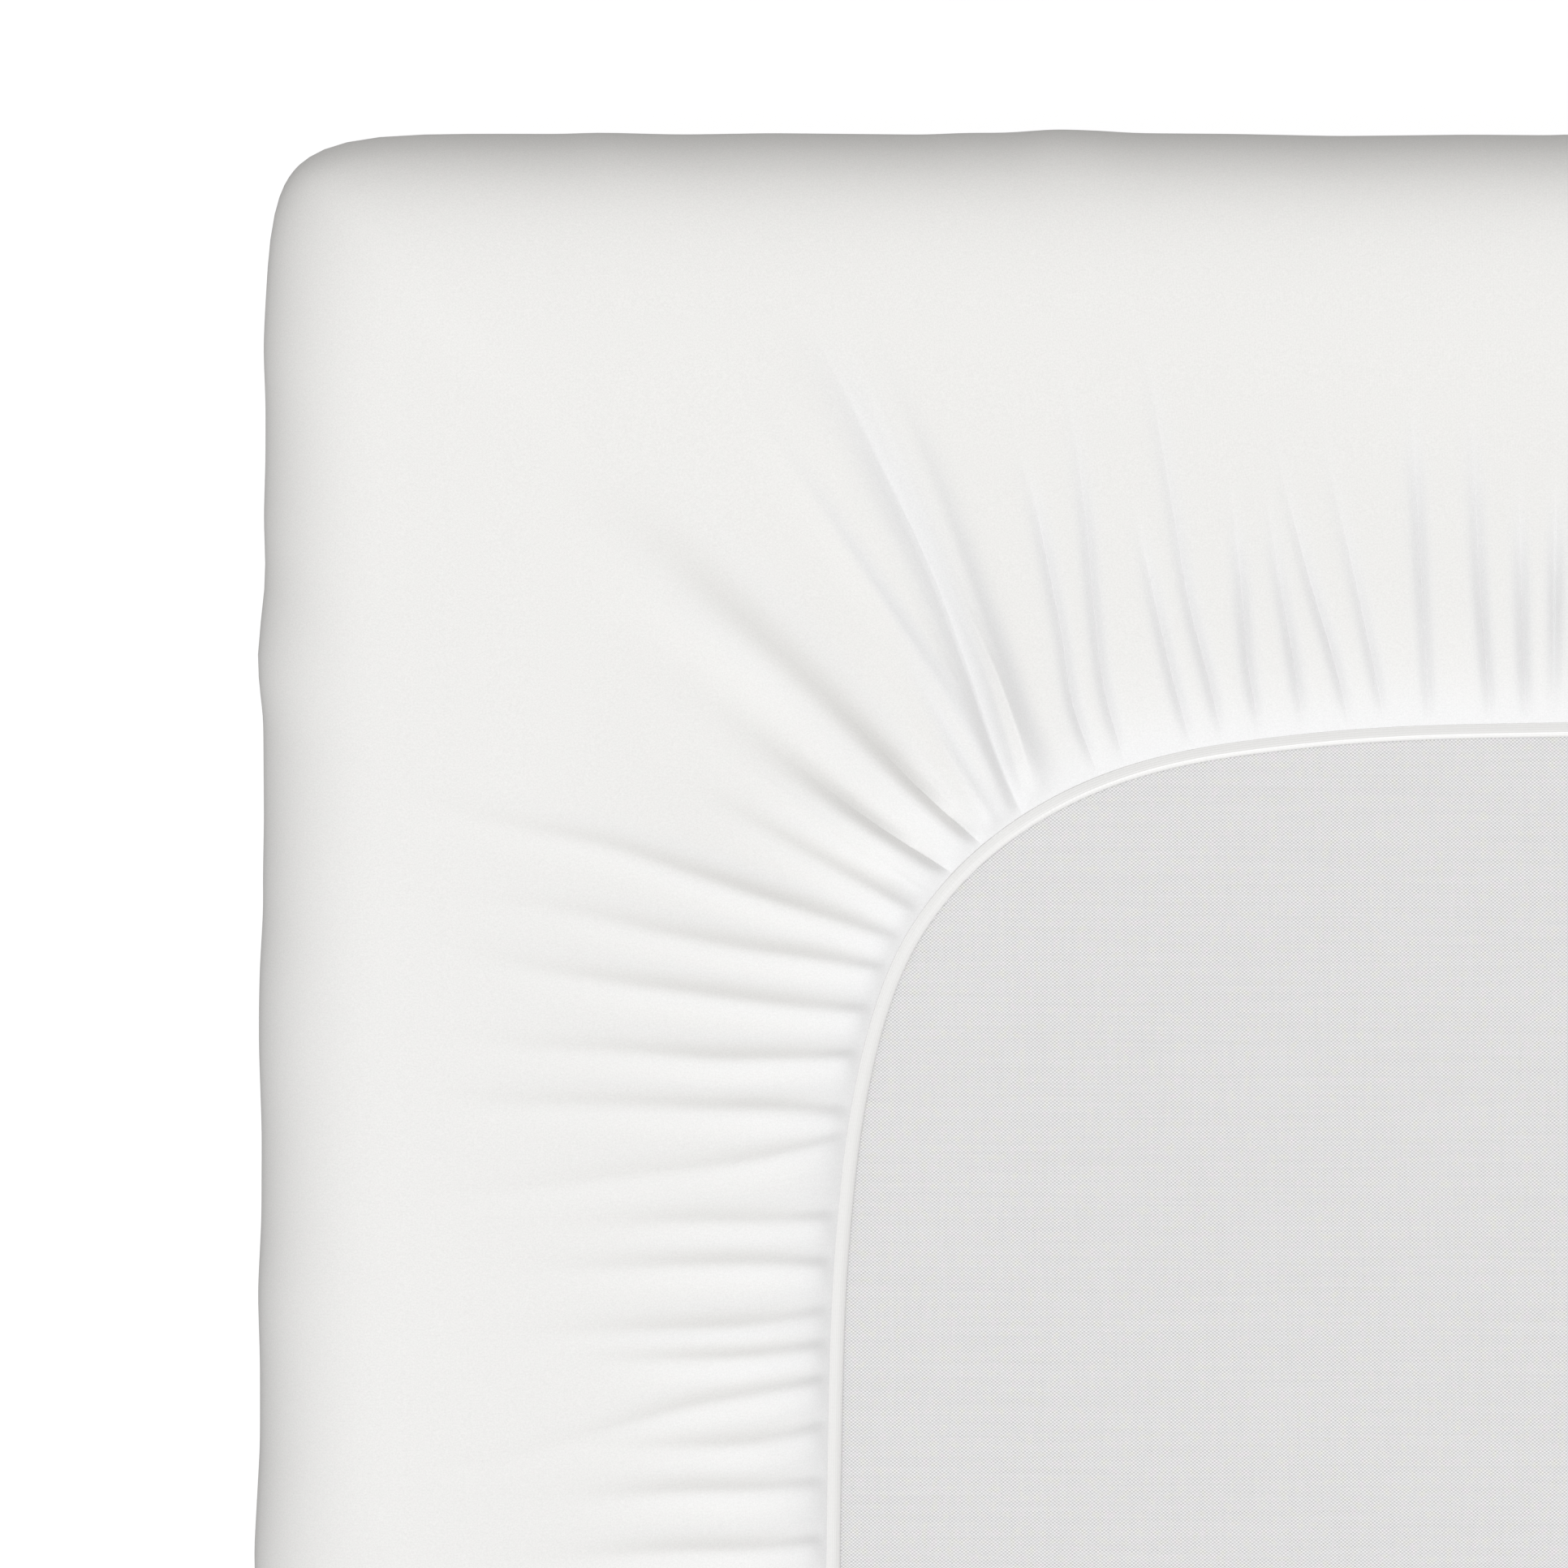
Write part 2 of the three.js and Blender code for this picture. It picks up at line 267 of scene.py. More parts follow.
def mouth_quarter():
    """The mouth's edge from the middle of the mattress's end to the middle of its side."""
    angle = np.linspace(0, math.pi / 2, MOUTH_POINTS)
    bend = 2 / MOUTH_ROUNDNESS
    start = MOUTH_END - MOUTH_CORNER_REACH
    x = MOUTH_HALF_WIDTH * np.sin(angle) ** bend
    y = start + MOUTH_CORNER_REACH * np.clip(np.cos(angle), 0, 1) ** bend
    corner = np.stack([x, y], axis=1)
    return evenly(np.vstack([corner, [[MOUTH_HALF_WIDTH, 0]]]))


def melted(inset):
    """How far in from one of its straights the outline lies, this far in from the other."""
    return -CORNER_SOFTNESS * np.log(1 - np.exp(-inset / CORNER_SOFTNESS))


def outline_quarter():
    """The pad's outline over the same quarter: two straights that melt into each other."""
    middle = math.log(2) * CORNER_SOFTNESS
    from_side = np.concatenate([
        np.linspace(HALF_WIDTH, CORNER_BEGINS, SIDE_POINTS, endpoint=False),
        np.geomspace(CORNER_BEGINS, middle, TURN_POINTS),
    ])
    from_end = np.concatenate([
        np.geomspace(middle, CORNER_BEGINS, TURN_POINTS),
        np.linspace(CORNER_BEGINS, HALF_LENGTH, END_POINTS)[1:],
    ])[1:]
    first = np.stack([HALF_WIDTH - from_side, HALF_LENGTH - melted(from_side)], axis=1)
    second = np.stack([HALF_WIDTH - melted(from_end), HALF_LENGTH - from_end], axis=1)
    return evenly(np.vstack([first, second]))


class Ring:
    """A closed curve made of one quarter and its three mirror images, which starts at the middle
    of the +Y end and runs by the corner at -X +Y."""

    def __init__(self, quarter):
        back = quarter[::-1]
        runs = [quarter * (-1, 1), back * (-1, -1), quarter * (1, -1), back * (1, 1)]
        self.points = np.vstack([run[:-1] for run in runs])
        self.count = len(self.points)
        self.quarter_length = np.hypot(*np.diff(quarter, axis=0).T).sum()
        self.length = 4 * self.quarter_length
        soft = [ring_blur(self.points[:, k], RING_SOFTNESS) for k in (0, 1)]
        self.points = np.stack(soft, axis=1)
        run = np.roll(self.points, -1, axis=0) - np.roll(self.points, 1, axis=0)
        run /= np.hypot(*run.T)[:, None]
        self.run = run
        self.out = np.stack([run[:, 1], -run[:, 0]], axis=1)
        turn = np.roll(run, -1, axis=0) - np.roll(run, 1, axis=0)
        spacing = self.length / self.count
        self.bend = ring_blur(np.hypot(*turn.T) / (2 * spacing), BEND_SOFTNESS)

    def at(self, places, values):
        """One of the ring's own rows of values, at places along it."""
        steps = places / self.length * self.count
        before = np.floor(steps).astype(int)
        share = (steps - before).reshape(*steps.shape, *[1] * (values.ndim - 1))
        return values[before % self.count] * (1 - share) + values[(before + 1) % self.count] * share


def ring_blur(values, spread):
    """Evens out a closed row of values over a number of steps."""
    waves = np.fft.rfftfreq(len(values))
    return np.fft.irfft(np.fft.rfft(values) * np.exp(-2 * (math.pi * waves * spread) ** 2), len(values))


def to_quarter(places, quarter_length):
    """Places on a ring as a quarter's number and the place counted from the nearest end's middle."""
    number = np.floor(places / quarter_length).astype(int) % 4
    within = places - np.floor(places / quarter_length) * quarter_length
    return number, np.where(number % 2 == 0, within, quarter_length - within)


def soft_inset(x, y):
    """How far in from the pad's outline a point lies, with the outline's own soft corners."""
    side = (HALF_WIDTH - np.abs(x)) / CORNER_SOFTNESS
    end = (HALF_LENGTH - np.abs(y)) / CORNER_SOFTNESS
    return -CORNER_SOFTNESS * np.logaddexp(-side, -end)


def smooth(value, low, high):
    """0 up to low and 1 from high on, with a soft turn at both."""
    share = np.clip((value - low) / (high - low), 0, 1)
    return share * share * (3 - 2 * share)


def wrapped_gap(gap, length):
    """A gap between two places on a ring, counted the shorter way round."""
    return (gap + length / 2) % length - length / 2


# ---- Meshes from rows of points ----
def ring_bmesh(points, uv, wrap_rows=False, creases=(), cool=None):
    """A ring of quads through points (rows, columns, 3) in millimetres, made from a grid whose last
    column is joined to its first, as wrap_rows joins its last row to its first. uv is where the
    columns and the rows lie in the cloth. creases are pairs of a column that is a sharp fold and
    the row at which the fold ends. cool is how cool the cloth's colour is at each point."""
    points = np.concatenate([points, points[:, :1]], axis=1)
    if wrap_rows:
        points = np.concatenate([points, points[:1]], axis=0)
    rows, columns = points.shape[:2]
    bm = bmesh.new()
    bmesh.ops.create_grid(bm, x_segments=columns - 1, y_segments=rows - 1, size=1)
    bm.verts.ensure_lookup_table()
    layer = bm.loops.layers.uv.new("cloth")
    for face in bm.faces:
        for loop in face.loops:
            row, column = divmod(loop.vert.index, columns)
            loop[layer].uv = (uv[0][column], uv[1][row])
    flat = (points * MM).reshape(-1, 3)
    for vert in bm.verts:
        vert.co = flat[vert.index]
    if cool is not None:
        shade = bm.verts.layers.float.new("cool")
        for vert in bm.verts:
            row, column = divmod(vert.index, columns)
            vert[shade] = cool[row, column % cool.shape[1]]
    for column, last in creases:
        for row in range(last):
            ends = bm.verts[row * columns + column], bm.verts[(row + 1) * columns + column]
            bm.edges.get(ends).smooth = False
    pairs = {bm.verts[(row + 1) * columns - 1]: bm.verts[row * columns] for row in range(rows)}
    if wrap_rows:
        for column in range(columns - 1):
            pairs[bm.verts[(rows - 1) * columns + column]] = bm.verts[column]
        pairs[bm.verts[rows * columns - 1]] = bm.verts[0]
    bmesh.ops.weld_verts(bm, targetmap=pairs)
    return bm


def join(bm, other):
    """Puts another bmesh's faces in bm."""
    mesh = bpy.data.meshes.new("joining")
    other.to_mesh(mesh)
    other.free()
    bm.from_mesh(mesh)
    bpy.data.meshes.remove(mesh)


def finish_piece(name, bm, material, slot, *nodes):
    """The piece's object, smooth, with its material, standing for its nodes."""
    bmesh.ops.recalc_face_normals(bm, faces=bm.faces[:])
    for face in bm.faces:
        face.smooth = True
    mesh = bpy.data.meshes.new(name)
    bm.to_mesh(mesh)
    bm.free()
    mesh.materials.append(material)
    piece = bpy.data.objects.new(name, mesh)
    bpy.context.scene.collection.objects.link(piece)
    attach(piece, "root")
    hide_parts(*nodes)
    return piece


# ---- The skirt's surface ----
DEPTH_STEP = 2.0
DEPTH_GRID = np.arange(0, 401, DEPTH_STEP)
LINE_RUN_OUT = 14  # how far past its last place a line still turns
LINE_SOFTNESS = 7.0  # how far a line's bends are evened out
LINE_STEPS = 8  # and over how many steps of the grid to each side
STRENGTH_KERNEL = (0.08, 0.24, 0.36, 0.24, 0.08)
FADE_FROM, FADE_TO = 112, 150  # how far out the last of a gather dies away


class Gather:
    """One gather or pleat on the ring: where its line runs and how strong it is, at DEPTH_GRID."""

    def __init__(self, hem, quarter, line, strengths, style, stands=False):
        depths = LINE_DEPTHS[: len(line)]
        slope = (line[-1] - line[-2]) / (depths[-1] - depths[-2])
        past = np.clip(DEPTH_GRID - depths[-1], 0, None)
        within = np.interp(DEPTH_GRID, depths, line)
        within += slope * LINE_RUN_OUT * (1 - np.exp(-past / LINE_RUN_OUT))
        before = 2 * within[0] - within[LINE_STEPS:0:-1]
        padded = np.concatenate([before, within, np.full(LINE_STEPS, within[-1])])
        steps = np.arange(-LINE_STEPS, LINE_STEPS + 1)
        kernel = np.exp(-((steps * DEPTH_STEP / LINE_SOFTNESS) ** 2))
        within = np.convolve(padded, kernel / kernel.sum(), "valid")
        even = hem.quarter_length * quarter
        self.forward = 1 if quarter % 2 == 0 else -1
        self.places = even + within if self.forward > 0 else even + hem.quarter_length - within
        strengths = [*strengths, *[0.0] * (len(STRENGTH_DEPTHS) - len(strengths))]
        strengths = np.interp(DEPTH_GRID, STRENGTH_DEPTHS, strengths)
        strengths *= 1 - smooth(DEPTH_GRID, FADE_FROM, FADE_TO)
        edge = np.concatenate([[strengths[0]] * 2, strengths, [strengths[-1]] * 2])
        self.strengths = np.convolve(edge, STRENGTH_KERNEL, "valid")
        self.lean, self.before, self.after, self.pinch = style
        self.stands = stands  # as a pleat does


# What the gathers that have no row of their own are like, each from a range or about a mean.
OWN_ROWS_END = 372.0  # where the front corner's rows end, along its side
FIRST_PLACE, END_SPACE = (4, 9), 3  # how far the first and the last lie from a quarter's ends
CORNER_AT, CORNER_SPREAD = 165, 75  # where the corner is, and how wide
SLANT, CORNER_SLANT, SLANT_TURN = (0.06, 0.05), 0.16, (160, 50)  # of a line, and how it fans out
LINE_CURL = 0.0015  # and how much less it slants farther out
REACH, CORNER_REACH, CORNER_SHARE = (44, 82), 34, (0.4, 1)  # how far out, and more at the corner
STRENGTH, CORNER_STRENGTH = (0.8, 1.45), 0.4  # how deep, and how much deeper there
START, START_DEPTH = (0.3, 0.8), 6  # the share of its strength by the binding, and up to where
FULL_SHARE = 0.4  # of its reach, over which a gather keeps its strength
SIDE_WIDTH, PINCH = (0.85, 1.2), (0.3, 1)
CLOSE, WIDE, CLOSE_SHARE = (8, 15), (15, 22), 0.8  # to the next gather, and how many are close


def random_gathers(seed, hem):
    """Gathers for the other three quarters, as uneven as the corner's own, and for the rest of the
    corner's own long side."""
    draw = np.random.default_rng(seed)
    found = []
    for quarter in (0, 1, 2, 3):
        place = OWN_ROWS_END if quarter == 0 else draw.uniform(*FIRST_PLACE)
        while place < hem.quarter_length - END_SPACE:
            cornerness = math.exp(-(((place - CORNER_AT) / CORNER_SPREAD) ** 2))
            fan = math.tanh((place - SLANT_TURN[0]) / SLANT_TURN[1])
            slant = draw.normal(*SLANT) + CORNER_SLANT * fan * cornerness
            line = [place + slant * depth * (1 - LINE_CURL * depth) for depth in LINE_DEPTHS]
            reach = draw.uniform(*REACH)
            reach += CORNER_REACH * cornerness * draw.uniform(*CORNER_SHARE)
            strength = draw.uniform(*STRENGTH)
            strength *= 1 + CORNER_STRENGTH * cornerness * draw.uniform(0, 1)
            start = draw.uniform(*START)
            strengths = [
                strength * (start if depth < START_DEPTH else 1)
                * (1 - smooth(depth, FULL_SHARE * reach, reach))
                for depth in STRENGTH_DEPTHS
            ]
            lean = 1.0 if quarter == 0 else draw.uniform(0, 1)
            style = (lean, *(draw.uniform(*span) for span in (SIDE_WIDTH, SIDE_WIDTH, PINCH)))
            found.append(Gather(hem, quarter, line, strengths, style))
            place += draw.uniform(*(CLOSE if draw.uniform() < CLOSE_SHARE else WIDE))
    return found


def all_gathers(hem, seed):
    """Every gather and pleat, in order round the ring."""
    found = [Gather(hem, 0, *row) for row in GATHERS]
    found += [Gather(hem, 0, *row, stands=True) for row in PLEATS]
    return sorted(found + random_gathers(seed, hem), key=lambda gather: gather.places[0])


def soft_ramp(across, start, softness):
    """Nought before a place and the distance past it after, with a soft turn."""
    return softness * np.logaddexp(0, (across - start) / softness)


GROOVE_HALF, PLEAT_HALF = 2.1, 2.4  # half a groove's width, and half a pleat's
CREST_ROUNDNESS = 0.7  # of a pleat
FLANK_SOFTNESS, PLEAT_SOFTNESS = 0.45, 0.3  # how softly their flanks turn
RIDGE_BACK, RIDGE_RUN = 2.0, 4.4  # where a ridge's near side starts to fall, and how wide it is
RIDGE_WIDENING, OUTER_SOFTENING = 1.2, 0.008  # for one that goes over to a full lean
FALL_FROM, FALL_TO = -1.8, 2.0  # where its steep far side starts and ends
FOOT_SHIFT, FOOT_WIDENING = 0.2, 1.2  # and how much later, by the binding
END_SOFTNESS, HALF_CRISPNESS = 1.1, 0.5  # how softly it ends
HALF_OPENING, UPRIGHT_OPENING = 0.0107, 0.003  # how much wider gathers get with the distance out
TURN_FROM, TURN_TO = 12, 26  # where a half-leaning gather goes over to a full lean
TURNING_PINCH = 0.8  # if it pinches more than this
FOOT_FROM, FOOT_TO = 8, 28  # where a ridge's far side stops being wider, as by the binding
GATHER_REACH = 21  # how far to each side of its line a gather is worked out
PINCH_RUN = 2.6  # how far from its line it pinches
# The cooler and warmer colours below are painted shade tints in and beside the gathers.
FULL_STRENGTH = 2.2  # the strength at which a gather has all of its painted shade tint
GROOVE_SHADE_RUN = 2.3  # how far from its line an upright gather is painted cooler, as shade in its groove
BESIDE_AT, BESIDE_RUN = 4.2, 2.0  # where the cloth beside a leaning one is painted cooler, and how far
BESIDE_COOL, LINE_WARM = 0.34, 0.3  # by how much, and how much warmer its shaded line is painted
PINCH_SPAN = 0.4  # and this far from a pinch of 0.9 it isn't any more


def gather_section(across, strength, lean, foot, turns, half, out):
    """A gather's section: a groove with straight flanks, or a ridge with a steep far side, as the
    gather leans over. foot is 1 by the binding, where the far side is wider, and 0 away from it.
    half is 1 for a gather that leans halfway, whose far side ends crisply. turns is 1 if it goes
    over to a full lean on its way out, where its near side is wider and its turns are softer."""
    softness = FLANK_SOFTNESS + OUTER_SOFTENING * turns * out
    groove = soft_ramp(-np.abs(across), -GROOVE_HALF, softness) / GROOVE_HALF
    run = RIDGE_RUN + RIDGE_WIDENING * turns
    behind = np.exp(-((np.minimum(across + RIDGE_BACK, 0) / run) ** 2))
    low, high = FALL_FROM + FOOT_SHIFT * foot, FALL_TO + FOOT_WIDENING * foot
    started = soft_ramp(across, low, softness)
    ended = soft_ramp(across, high, END_SOFTNESS - HALF_CRISPNESS * half)
    fall = (started - ended) / (high - low)
    return strength * (lean * behind * (1 - fall) - (1 - lean) * groove)


def pleat_section(across, strength):
    """A pleat's section: a narrow rounded crest with straight flanks."""
    away = np.hypot(across, CREST_ROUNDNESS)
    return strength * soft_ramp(-away, -PLEAT_HALF, PLEAT_SOFTNESS) / PLEAT_HALF


def squeeze_at(across):
    """How much of a gather's pinch a place has."""
    return np.exp(-((across / PINCH_RUN) ** 2))


def gather_shade_tint(gather, across, strength):
    """The painted shade tint that a gather gives: how much cooler the cloth's colour is in a groove and
    beside a ridge, and how much warmer on a leaning one's line.
    """
    grey = (1 - gather.pinch) * np.exp(-((across / GROOVE_SHADE_RUN) ** 2)) * strength / FULL_STRENGTH
    plain = max(1 - abs(gather.pinch - LEANING[-1]) / PINCH_SPAN, 0)
    leaning = gather.lean * plain * strength / FULL_STRENGTH
    beside = np.exp(-(((np.abs(across) - BESIDE_AT) / BESIDE_RUN) ** 2))
    return grey + np.minimum(leaning, 1) * (BESIDE_COOL * beside - LINE_WARM * squeeze_at(across))


def gathered_height(plan, places, depth, bend):
    """The height that the gathers add at points (rows, columns) of the underside, given by their
    places along the hem and their distances out from it, how much they pinch it there, and how
    much cooler its colour is, as painted shade. bend is how sharply the hem turns at each."""
    height, pinch, cool = (np.zeros(places.shape) for _ in range(3))
    length = plan.hem.length
    for gather in plan.gathers:
        near = np.abs(wrapped_gap(plan.bases - gather.places[0], length)) < GATHER_REACH
        out = depth[:, near]
        line = np.interp(out, DEPTH_GRID, gather.places)
        strength = np.interp(out, DEPTH_GRID, gather.strengths)
        gap = wrapped_gap(line - places[:, near], length)
        across = gap * (1 + bend[:, near] * out) * gather.forward
        width = np.where(across < 0, gather.before, gather.after)
        if gather.stands:
            height[:, near] += pleat_section(across / width, strength)
            continue
        half = 4 * gather.lean * (1 - gather.lean)
        turns = half * (gather.pinch > TURNING_PINCH)
        opening = UPRIGHT_OPENING * (1 - gather.lean) + HALF_OPENING * half
        across = across / (width * (1 + opening * out))
        lean = gather.lean + (1 - gather.lean) * turns * smooth(out, TURN_FROM, TURN_TO)
        foot = 1 - smooth(out, FOOT_FROM, FOOT_TO)
        height[:, near] += gather_section(across, strength, lean, foot, turns, half, out)
        pinch[:, near] = np.maximum(pinch[:, near], gather.pinch * squeeze_at(across))
        cool[:, near] += gather_shade_tint(gather, across, strength)
    return height, pinch, cool


END_EDGE_FALL, END_EDGE_RUN = 6.0, 4.8  # the rounded drop at the outermost edge of an end


def edge_fall(inset, endness, sizes):
    """How far below the top's own level the cloth lies, a distance in from the outline. endness is
    1 at the ends, which turn over more gently, and 0 at the sides."""
    share = np.clip(1 - inset / (sizes.roll_across / MM), 0, 1)
    turn = (sizes.roll_down / MM) * (1 - np.sqrt(1 - share**2))
    inwards = np.clip(inset, 0, None)
    side = turn + (sizes.crown / MM) * np.exp(-inwards / (sizes.crown_run / MM))
    end = (sizes.end_roll / MM) * np.exp(-inwards / (sizes.end_run / MM))
    end += END_EDGE_FALL * (1 - np.sqrt(1 - np.clip(1 - inset / END_EDGE_RUN, 0, 1) ** 2))
    return side * (1 - endness) + end * endness


TOP_LEVEL = 7.5  # the cloth's height over the mattress, away from the hem
HEM_LEVEL, SIDE_HEM_LEVEL = 1.1, 1.0  # its height at the hem at an end, and what a side adds
NEAR_ROWS = (0, 0.3, 0.8, 1.6, 2.7, 4.1, 5.9, 8.1, 11, 14.5)  # rows out from the binding
UNDERSIDE_ROWS, ROW_GROWTH = 14, 1.12  # and from there to where the edge starts to turn
EDGE_INSETS = (46, 40, 34.5, 29.5, 25, 21, 17.5, 14, 11, 8, 5.5, 3.4, 1.7, 0.6, 0)
SIDE_ROWS, FOOT_ROWS = 4, 6
FOOT_ACROSS, FOOT_DOWN, FOOT_SEAM = 14.0, 24.0, 3.5  # the turn at the foot, and the seam's height
BULGE_LOST, SIDE_SWELL = 0.6, 0.7  # down a side: the share of its bulge, and its own swell
INNER_EVERY = 6  # the skirt's inner face has one column for this many of its outer one's
FINE_GROWTH, COARSE_GROWTH = 0.28, 0.4  # how much wider each next column is, away from a line
FRONT_SHORT = 260  # the fine columns end this far before the front corner's quarter does
FRONT_BEFORE = 14  # and they start this far before it


def column_places(hem, gathers, sizes):
    """Places along the hem for the skirt's columns: one on every gather's line, closest beside the
    lines and closer still at the front corner."""
    lines = [gather.places[0] for gather in gathers]
    places = []
    for line, after in zip(lines, lines[1:] + [lines[0] + hem.length]):
        front = line < hem.quarter_length - FRONT_SHORT or line > hem.length - FRONT_BEFORE
        step = (sizes.fine_step if front else sizes.coarse_step) / MM
        growth = FINE_GROWTH if front else COARSE_GROWTH
        half = (after - line) / 2
        count = max(1, int(round(math.log(1 + growth * half / step) / growth)))
        share = np.arange(count + 1) / count
        away = (np.exp(growth * count * share) - 1) / (math.exp(growth * count) - 1) * half
        places.append(line + away[:-1])
        places.append(after - away[:0:-1])
    places = np.concatenate(places)
    spare = len(places) % INNER_EVERY  # the inner face's columns have to divide these
    apart = len(places) // 70 * 7  # so the spare ones go, about a tenth of the way round apart
    return np.delete(places, [(k + 1) * apart + 3 for k in range(spare)])


MOST_WANDER, FINE_WANDER = 0.7, 0.35  # away from the front corner, and of the side's wrinkles


def drawn_rows(seed, count, spreads):
    """A closed row of drawn values for each spread, evened out by it."""
    draw = np.random.default_rng(seed)
    return [ring_blur(draw.normal(0, 1, count), spread) for spread in spreads]


def ring_wander(places, ring, corner, other, fade, spread, steps):
    """How far out of its smooth line a ring lies at places: as given in the front corner's
    quarter, and elsewhere as in another row, which fades over two distances at a quarter's ends.
    It is all evened out over a spread, by way of so many even steps."""
    number, within = to_quarter(places, ring.quarter_length)
    count = len(other)
    row = np.interp(places / ring.length * count, np.arange(count + 1), np.append(other, other[0]))
    row = row * smooth(within, 0, fade[0]) * smooth(ring.quarter_length - within, 0, fade[1])
    wander = np.where(number == 0, np.interp(within, *corner), row)
    even = np.linspace(0, ring.length, steps, endpoint=False)
    return blur_over(places, wander, ring.length, spread, even)


def hem_wander(places, hem, seed):
    """How far out of its smooth line the hem lies."""
    (slow,) = drawn_rows(seed + 1, count=512, spreads=[7])
    slow *= MOST_WANDER / np.abs(slow).max()
    corner = (HEM_WANDER_AT, HEM_WANDER)
    return ring_wander(places, hem, corner, slow, fade=(60, 40), spread=7.0, steps=2048)


def side_wander(places, outline, seed):
    """How far out of its straight line the pad's side lies."""
    at, out = np.array(SIDE_WANDER).T
    slow, fine = drawn_rows(seed + 2, count=1024, spreads=[6, 1.6])
    other = MOST_WANDER * slow / np.abs(slow).max() + FINE_WANDER * fine / np.abs(fine).max()
    corner = (at * outline.quarter_length / at[-1], out)
    return ring_wander(places, outline, corner, other, fade=(60, 60), spread=3.0, steps=4096)


def blur_over(places, values, length, spread, even):
    """Evens out values at uneven places round a ring, by way of even ones."""
    order = np.argsort(places)
    sorted_places, values = places[order], values[order]
    wrapped = np.concatenate([sorted_places - length, sorted_places, sorted_places + length])
    on_even = np.interp(even, wrapped, np.tile(values, 3))
    soft = ring_blur(on_even, spread / length * len(even))
    return np.interp(places, np.append(even, length), np.append(soft, soft[0]))


def tape_width(out):
    """How wide the binding lies where the hem faces this way."""
    return TAPE_AT_SIDE + (TAPE_AT_END - TAPE_AT_SIDE) * out[:, 1] ** 2


LINE_GAP = 1.2  # how near to each other two gathers' lines may run
HALVINGS = 32  # how often the search for a column's place halves what is left
CREASE_DEPTH = 0.45  # how deep a groove has to be for a sharp fold along its line


class SkirtPlan:
    """The skirt's columns in plan. They leave the binding square and run with the gathers."""

    def __init__(self, sizes):
        self.hem = Ring(mouth_quarter())
        self.outline = Ring(outline_quarter())
        self.gathers = all_gathers(self.hem, sizes.seed)
        self.bases = column_places(self.hem, self.gathers, sizes)
        length = self.hem.length
        lines = np.array([gather.places for gather in self.gathers])
        for _ in range(2):  # a gather that has ended gives way to one that crosses its line
            for number in range(len(lines)):
                before = lines[number - 1] - (length if number == 0 else 0)
                lines[number] = np.maximum(lines[number], before + LINE_GAP)
        slips = lines - lines[:, :1]
        around = np.concatenate([lines[-1:, 0] - length, lines[:, 0], lines[:1, 0] + length])
        slips = np.vstack([slips[-1:], slips, slips[:1]])
        self.slips = np.array([np.interp(self.bases, around, row) for row in slips.T])
        wander = hem_wander(self.bases % length, self.hem, sizes.seed)
        out = self.hem.at(self.bases, self.hem.out)
        self.start = wander + tape_width(out) - TUCK
        _, self.edge = self.point(self.depth_at_inset(0))
        self.edge_places = self.nearest_on_outline()
        self.edge_out = self.outline.at(self.edge_places, self.outline.out)
        self.bulge = side_wander(self.edge_places % self.outline.length, self.outline, sizes.seed)

    def nearest_on_outline(self):
        """The places along the outline of the columns' ends."""
        outline = self.outline
        tree = KDTree(outline.count)
        for number, point in enumerate(outline.points):
            tree.insert((*point, 0), number)
        tree.balance()
        nearest = [tree.find((*point, 0))[1] for point in self.edge]
        places = np.unwrap(np.array(nearest) / outline.count * 2 * math.pi) / (2 * math.pi)
        past = ((self.edge - outline.points[nearest]) * outline.run[nearest]).sum(axis=1)
        return np.maximum.accumulate(places * outline.length + past)

    def point(self, depth):
        """The places along the hem and the plan points of every column at distances out from it."""
        step = np.clip(depth / DEPTH_STEP, 0, len(DEPTH_GRID) - 2)
        low = np.floor(step).astype(int)
        share = step - low
        column = np.arange(len(self.bases))
        slip = self.slips[low, column] * (1 - share) + self.slips[low + 1, column] * share
        places = self.bases + slip
        out = self.hem.at(places, self.hem.out)
        return places, self.hem.at(places, self.hem.points) + out * depth[..., None]

    def creases(self, depth):
        """The columns that lie in a groove, each with the row at which it gets too shallow."""
        found = []
        for gather in self.gathers:
            column = int(np.abs(self.bases - gather.places[0]).argmin())
            if not gather.stands and gather.lean < 0.5:
                deep = np.interp(depth[:, column], DEPTH_GRID, gather.strengths) > CREASE_DEPTH
                if deep.any():
                    found.append((column, int(np.flatnonzero(deep).max())))
        return found

    def depth_at_inset(self, inset):
        """The distance out from the hem at which each column is this far in from the outline."""
        low, high = np.zeros(len(self.bases)), np.full(len(self.bases), DEPTH_GRID[-1] - 1)
        for _ in range(HALVINGS):
            half = (low + high) / 2
            _, point = self.point(half)
            further_in = soft_inset(*point.T) > inset
            low, high = np.where(further_in, half, low), np.where(further_in, high, half)
        return (low + high) / 2


def skirt_depths(plan):
    """How far out from the hem the rows of the skirt's underside lie, in every column."""
    at_turn = plan.depth_at_inset(EDGE_INSETS[0])
    near = [plan.start + row for row in NEAR_ROWS]
    steps = (np.arange(1, UNDERSIDE_ROWS + 1) / UNDERSIDE_ROWS) ** ROW_GROWTH
    far = [near[-1] + (at_turn - near[-1]) * step for step in steps]
    return np.array(near + far + [plan.depth_at_inset(inset) for inset in EDGE_INSETS[1:]])


